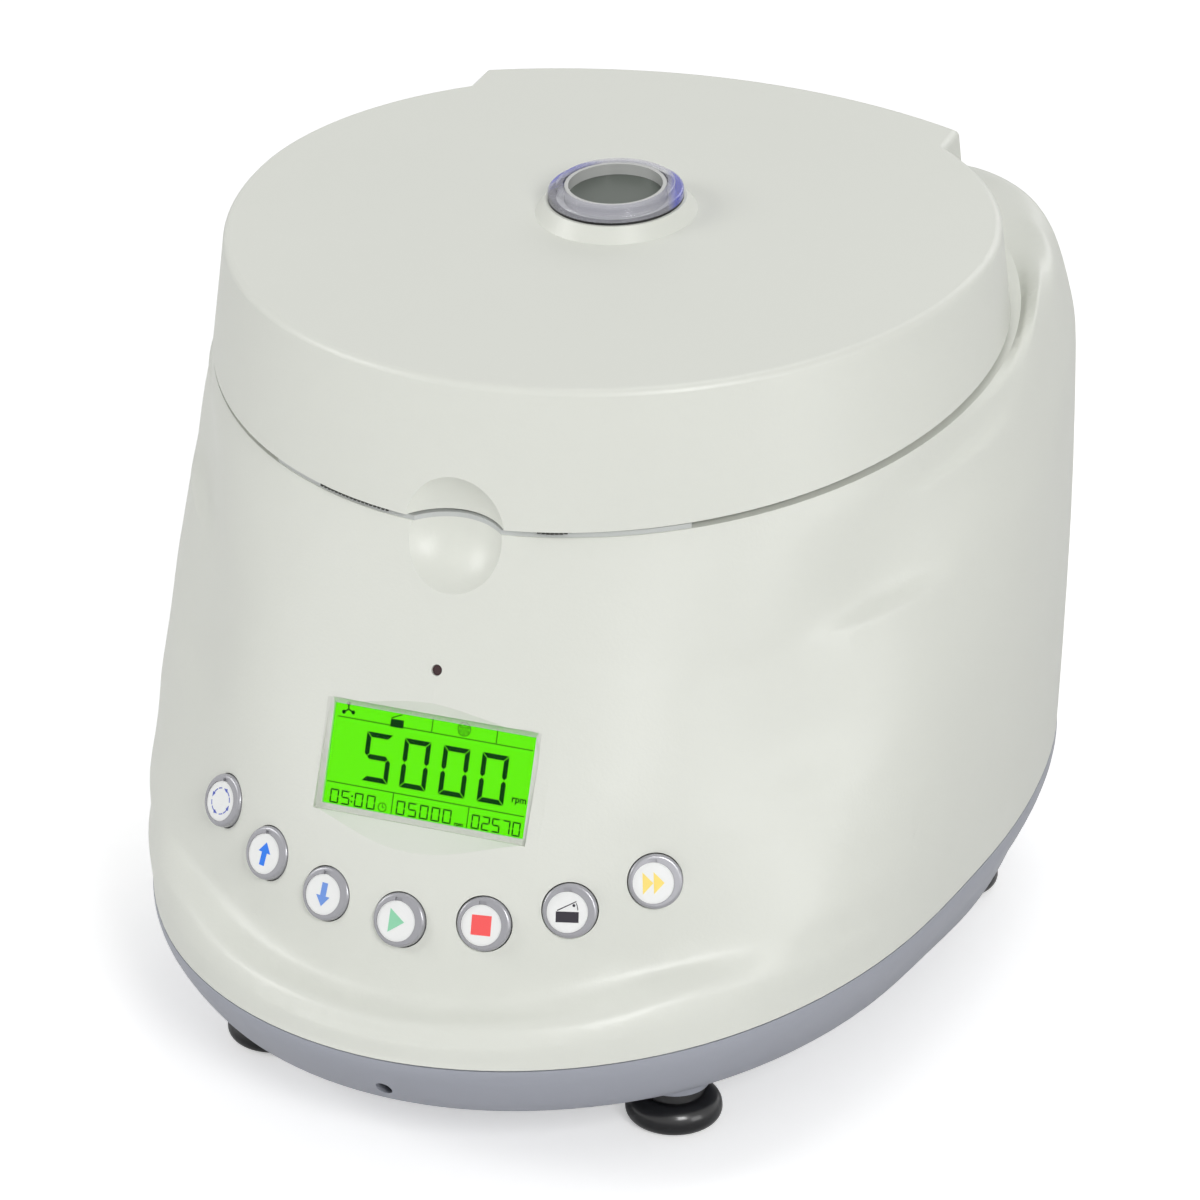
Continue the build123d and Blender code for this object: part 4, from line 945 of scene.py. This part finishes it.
@dataclass
class Fixings:
    """Screw heads that show on the rear panel and under the lid."""

    finishes: dict
    head_radius: float = 2.5
    head_height: float = 1.1
    head_bend: float = 0.6
    cross: float = 2.6
    cross_half_width: float = 0.32
    cross_split: float = 0.01
    panel_reach: tuple[float, float] = (61.0, 26.0)
    panel_sink: float = 0.8
    liner_bore: float = 1.6

    def screw(self, name: str, origin: np.ndarray, out: np.ndarray, body: str, slot: str) -> None:
        """Round head with a cross recess.

        The head is a profile turned about its axis; the recess is painted shade: two dark crossed
        bars that lie on its flat top.

        Args:
            name: name of the piece.
            origin: centre of the head's seat, in metres.
            out: the way that it faces.
            body: the body that it rides on.
            slot: the record's material slot that it belongs to; not used.
        """
        place = facing(np.array([origin, origin]), out)
        r, h, round_off = self.head_radius, self.head_height, self.head_bend
        bend = np.radians(np.linspace(0, 90, 6))
        dome = np.stack(
            [r - round_off + round_off * np.cos(bend), h - round_off + round_off * np.sin(bend)], axis=1
        )
        profile = np.concatenate([[(0.0, 0.0), (r, 0.0)], dome, [(0.0, h)]])
        points, faces = turned(profile, place, 28)
        add_mesh(name, points, faces, body, slot, self.finishes["zinc"])
        # The cross recess is painted shade: dark bars on the head's flat top.
        recess = Relief(name + "_cross_shade", place, h - 0.02, h + 0.02)
        half, side = self.cross / 2, self.cross_half_width
        clear = side + self.cross_split
        recess.add(box_outline(-half, -side, half, side), box_outline(-side, -half, side, -clear))
        recess.add(box_outline(-side, clear, side, half))
        recess.build(body, slot, self.finishes["painted_shade_dark"])

    def mouth(self, node: str, x: float, y: float, radius: float) -> tuple[np.ndarray, np.ndarray]:
        """Lower mouth of an upright bore.

        Of the vertices that stand round the bore, the lowest ring gives the mouth. Its centre is
        the middle of that ring; its normal is the way in which the ring is thinnest.

        Args:
            node: the piece with the bore.
            x: centre of the bore, in millimetres.
            y: centre of the bore, in millimetres.
            radius: radius of the bore, in millimetres.

        Returns:
            Centre in metres and the unit normal that points down.
        """
        verts = node_points(node)
        reach = np.hypot(verts[:, 0] - x * MM, verts[:, 1] - y * MM)
        wall = verts[reach < (radius + 0.1) * MM]
        ring = wall[wall[:, 2] < (wall[:, 2].min() + wall[:, 2].max()) / 2]
        normal = np.linalg.svd(ring - ring.mean(axis=0), full_matrices=False)[2][2]
        return (ring.min(axis=0) + ring.max(axis=0)) / 2, normal if normal[2] < 0 else -normal

    def build(self) -> None:
        """Puts a head in each counterbore of the rear panel and under each screw hole of the lid liner."""
        low, high = (np.array(corner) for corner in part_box("rear_panel"))
        middle = (low + high) / 2
        across, climb = self.panel_reach
        for i, (side, rise) in enumerate([(-1, -1), (1, -1), (-1, 1), (1, 1)]):
            seat = np.array([
                middle[0] + side * across * MM, high[1] - self.panel_sink * MM, middle[2] + rise * climb * MM
            ])
            self.screw(f"panel_screw_{i + 1}", seat, np.array([0.0, 1.0, 0.0]), "case", "panel_metal")
        for i, (x, y) in enumerate([(-86.0, -36.0), (86.0, -36.0), (-70.0, 56.0), (70.0, 56.0)]):
            seat, out = self.mouth("lid_liner", x, y + ROTOR_AXIS[1] / MM, self.liner_bore)
            self.screw(f"liner_screw_{i + 1}", seat, out, "lid", "liner_grey")


@dataclass
class RimGapShade:
    """Painted shade in the gap under the lid's front rim: a row of dark teeth and one dark crescent."""

    finishes: dict
    tooth: float = 0.9
    pitch: float = 1.5
    drop: float = 0.75
    setback: float = 0.15
    first: float = -21.5
    last: float = -9.5
    crescent_angle: float = 13.5
    crescent_half: float = 5.3
    crescent_blocks: int = 9
    crescent_least: float = 0.15
    depth: float = 0.6
    overlap: float = 0.05

    def build(self) -> None:
        """Hangs the teeth and the crescent of painted shade from the rim.

        The rim's underside is a plane that climbs to the rear: its height is slope times y plus
        a level. The crescent is a row of blocks whose drop follows half an ellipse.
        """
        slope, level, radius = self.rim_plane()
        pieces = []
        for a in np.radians(np.arange(self.first, self.last, math.degrees(self.pitch / radius))):
            pieces.append(self.block(a, radius, self.tooth, self.drop, (slope, level)))
        width = 2 * self.crescent_half / self.crescent_blocks
        least = self.crescent_least
        for step in np.linspace(-1.0, 1.0, self.crescent_blocks):
            drop = self.drop * (least + (1.0 - least) * math.sqrt(1.0 - step * step))
            a = math.radians(self.crescent_angle) + step * self.crescent_half / radius
            pieces.append(self.block(a, radius, width, drop, (slope, level)))
        cube = [[3, 2, 1, 0], [4, 5, 6, 7], [0, 1, 5, 4], [1, 2, 6, 5], [2, 3, 7, 6], [3, 0, 4, 7]]
        faces = [[corner + 8 * i for corner in face] for i in range(len(pieces)) for face in cube]
        # Dark blocks that paint the shade in the gap under the rim
        add_mesh("rim_gap_shade", np.concatenate(pieces), faces, "lid", "body_white", self.finishes["painted_shade_dark"])

    def rim_plane(self) -> tuple[float, float, float]:
        """Plane and radius of the lid's rim, read from its front underside beside the dimple.

        Returns:
            Slope, height at y = 0 in metres, and the radius for the blocks in millimetres.
        """
        mesh = bpy.data.objects["lid_cover"].data
        normals, centres = mesh_rows(mesh.polygons, "normal"), mesh_rows(mesh.polygons, "center")
        reach = np.hypot(*(centres[:, :2] - ROTOR_AXIS[:2]).T)
        under = (normals[:, 2] < -0.95) & (reach > 0.12) & (reach < 0.13) & (centres[:, 1] < 0.0)
        slope = float(np.median(-normals[under, 1] / normals[under, 2]))
        level = float(np.median(centres[under, 2] - slope * centres[under, 1]))
        verts = node_points("lid_cover")
        flat = verts[:, :2] - ROTOR_AXIS[:2]
        on_rim = np.abs(verts[:, 2] - slope * verts[:, 1] - level) < 0.1 * MM
        turn = np.degrees(np.arctan2(flat[:, 0], -flat[:, 1]))
        beside = on_rim & (np.abs(turn) > 12.0) & (np.abs(turn) < 30.0)
        radius = float(np.hypot(*flat[beside].T).max() / MM) - self.setback
        LOG.info("lid rim: slope %.3f, level %.4f m, radius %.2f mm", slope, level, radius)
        return slope, level, radius

    def block(
        self, a: float, radius: float, width: float, drop: float, plane: tuple[float, float]
    ) -> np.ndarray:
        """Corners of one small block under the rim.

        Args:
            a: angle from the front in radians.
            radius: distance of its outer face from the axis in millimetres.
            width: its width in millimetres.
            drop: how far it hangs below the rim in millimetres.
            plane: slope of the rim's plane and its height at y = 0 in metres.

        Returns:
            Four lower corners and four upper ones, in metres.
        """
        slope, level = plane
        across = np.array([math.cos(a), math.sin(a)])
        out = np.array([math.sin(a), -math.cos(a)])
        depth = self.depth
        corners = []
        for lift in (-drop, self.overlap):
            for side, back in ((-0.5, depth), (-0.5, 0.0), (0.5, 0.0), (0.5, depth)):
                flat = np.array(ROTOR_AXIS[:2]) + (out * (radius - back) + across * width * side) * MM
                corners.append((flat[0], flat[1], slope * flat[1] + level + lift * MM))
        return np.array(corners)


@dataclass
class RotorNumbers:
    """Pocket numbers on the sloping face of the rotor."""

    finishes: dict
    count: int = 12
    radius: float = 78.0
    size: float = 5.0
    levels: tuple[float, float] = (-0.05, 0.08)

    def build(self) -> None:
        """Numbers the space after each pocket, upright as seen from outside the rotor."""
        low, high = (np.array(corner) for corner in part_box("rotor"))
        middle = (low + high) / 2
        verts = node_points("rotor")
        reach = np.hypot(verts[:, 0] - middle[0], verts[:, 1] - middle[1])
        top = high[2]
        edge = reach[verts[:, 2] > top - 0.1 * MM].max()
        fall = self.radius * MM - edge
        points, faces = [], []
        start = 0
        for i in range(self.count):
            a = math.radians(360 / self.count * (i + 0.5))
            out_flat = np.array([math.cos(a), math.sin(a), 0.0])
            out = (out_flat + (0, 0, 1)) / math.sqrt(2)
            up = (np.array([0, 0, 1.0]) - out_flat) / math.sqrt(2)
            origin = np.array([middle[0], middle[1], top - fall]) + out_flat * self.radius * MM
            place = Place(origin, np.cross(up, out), up, out)
            verts_of, faces_of = lettering(
                f"pocket_{i + 1}", str(i + 1), place, 0.0, -self.size / 3, self.size, self.levels
            )
            points.append(verts_of)
            faces += [[k + start for k in face] for face in faces_of]
            start += len(verts_of)
        white = self.finishes["engraving"]
        add_mesh("rotor_numbers", np.concatenate(points), faces, "rotor_set", "rotor_metal", white)


@dataclass
class Studio:
    """Pale floor, soft lamps and the camera at the photograph's angle."""

    floor_size: float = 12.0
    floor_tone: float = 0.90
    floor_level: float = -0.0002
    camera_lift: float = 0.44
    world_level: float = 0.30

    def floor(self) -> None:
        """Flat sheet just under the feet, lifted towards white for the camera's own rays only."""
        material = bpy.data.materials.new("studio_floor")
        material.use_nodes = True
        tree = material.node_tree
        shader = tree.nodes["Principled BSDF"]
        tone = self.floor_tone
        set_values(shader, {
            "Base Color": (tone, tone, tone, 1.0),
            "Roughness": 0.9,
            "Specular IOR Level": 0.1,
            "Emission Color": (1.0, 1.0, 1.0, 1.0),
        })
        path = add_node(tree, "ShaderNodeLightPath")
        lift = math_node(tree, "MULTIPLY", {1: self.camera_lift})
        connect(tree, (path, "Is Camera Ray", lift, 0), (lift, 0, shader, "Emission Strength"))
        half, z = self.floor_size / 2, self.floor_level
        mesh = bpy.data.meshes.new("studio_floor")
        corners = [(-half, -half, z), (half, -half, z), (half, half, z), (-half, half, z)]
        mesh.from_pydata(corners, [], [(0, 1, 2, 3)])
        mesh.materials.append(material)
        new_object("studio_floor", mesh)

    def world(self) -> None:
        """Plain level of light, white where the camera, a mirror or clear plastic sees it."""
        world = bpy.data.worlds.new("studio")
        world.use_nodes = True
        bpy.context.scene.world = world
        tree = world.node_tree
        back = tree.nodes["Background"]
        set_values(back, {"Color": (1.0, 1.0, 1.0, 1.0)})
        path = add_node(tree, "ShaderNodeLightPath")
        seen = math_node(tree, "MAXIMUM")
        clear = math_node(tree, "MAXIMUM")
        level = add_node(tree, "ShaderNodeMapRange", {"To Min": self.world_level, "To Max": 1.0})
        connect(
            tree,
            (path, "Is Camera Ray", seen, 0), (path, "Is Glossy Ray", seen, 1), (seen, 0, clear, 0),
            (path, "Is Transmission Ray", clear, 1), (clear, 0, level, "Value"),
            (level, "Result", back, "Strength"),
        )

    def lamp(self, name: str, place: tuple, target: tuple, size: float, power: float) -> Object:
        """Square soft lamp that looks at a target.

        Args:
            name: name of the lamp.
            place: where it stands.
            target: what it looks at.
            size: length of its side in metres.
            power: its power in watts.

        Returns:
            The new lamp.
        """
        data = bpy.data.lights.new(name, "AREA")
        data.shape = "SQUARE"
        data.size = size
        data.energy = power
        lamp = new_object(name, data)
        aim(lamp, place, target)
        return lamp

    def camera(self) -> None:
        """Camera with the photograph's place, direction, field and centre."""
        data = bpy.data.cameras.new("photo_camera")
        data.sensor_fit = "HORIZONTAL"
        data.sensor_width = SENSOR_WIDTH
        data.lens = FOCAL_PIXELS / PHOTO_WIDTH * SENSOR_WIDTH
        data.shift_x = (PHOTO_WIDTH / 2 - CENTRE_PIXEL[0]) / PHOTO_WIDTH
        data.shift_y = (CENTRE_PIXEL[1] - PHOTO_WIDTH / 2) / PHOTO_WIDTH
        data.clip_start = 0.05
        data.clip_end = 50.0
        data.dof.use_dof = False
        camera = new_object("photo_camera", data)
        aim(camera, CAMERA_PLACE, CAMERA_TARGET)
        camera.rotation_euler.rotate_axis("Z", CAMERA_ROLL)
        bpy.context.scene.camera = camera

    def build(self) -> None:
        """Sets up the whole studio."""
        self.floor()
        self.world()
        middle = (0.0, 0.0, 0.12)
        self.lamp("key_lamp", (1.35, -1.55, 1.25), middle, 0.7, 24.0)
        self.lamp("fill_lamp", (-2.0, -1.1, 1.3), middle, 1.0, 19.0)
        self.lamp("top_lamp", (0.1, 0.5, 2.2), middle, 1.0, 6.5)
        self.lamp("rear_lamp", (0.5, 2.0, 1.5), middle, 1.2, 9.0)
        sheen = self.lamp("sheen_lamp", (2.1, -0.65, 0.5), middle, 0.9, 8.0)
        sheen.visible_diffuse = False
        self.camera()
        bpy.context.scene.view_settings.view_transform = "Standard"


def aim(piece: Object, place: tuple, target: tuple) -> None:
    """Puts a lamp or camera at a place and turns it to look at a target, both in metres."""
    eye = np.array(place)
    back = eye - np.array(target)
    back = back / np.linalg.norm(back)
    right = np.cross((0.0, 0.0, 1.0), back)
    right = right / np.linalg.norm(right)
    up = np.cross(back, right)
    rows = np.eye(4)
    rows[:3, 0], rows[:3, 1], rows[:3, 2], rows[:3, 3] = right, up, back, eye
    piece.matrix_world = Matrix(rows.tolist())


def main() -> None:
    """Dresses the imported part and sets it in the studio."""
    logging.basicConfig(level=logging.INFO, format="%(name)s %(message)s")
    for stray in list(bpy.data.objects):
        bpy.data.objects.remove(stray)
    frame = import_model()
    effects = Effects()
    finishes = {finish.name: finish.build(effects) for finish in FINISHES + MARK_FINISHES}
    Shell(frame, finishes).dress()
    DisplayFace(finishes).build()
    KeySymbols(frame, finishes).build()
    Fixings(finishes).build()
    RimGapShade(finishes).build()
    RotorNumbers(finishes).build()
    Studio().build()


if __name__ == "__main__":
    main()
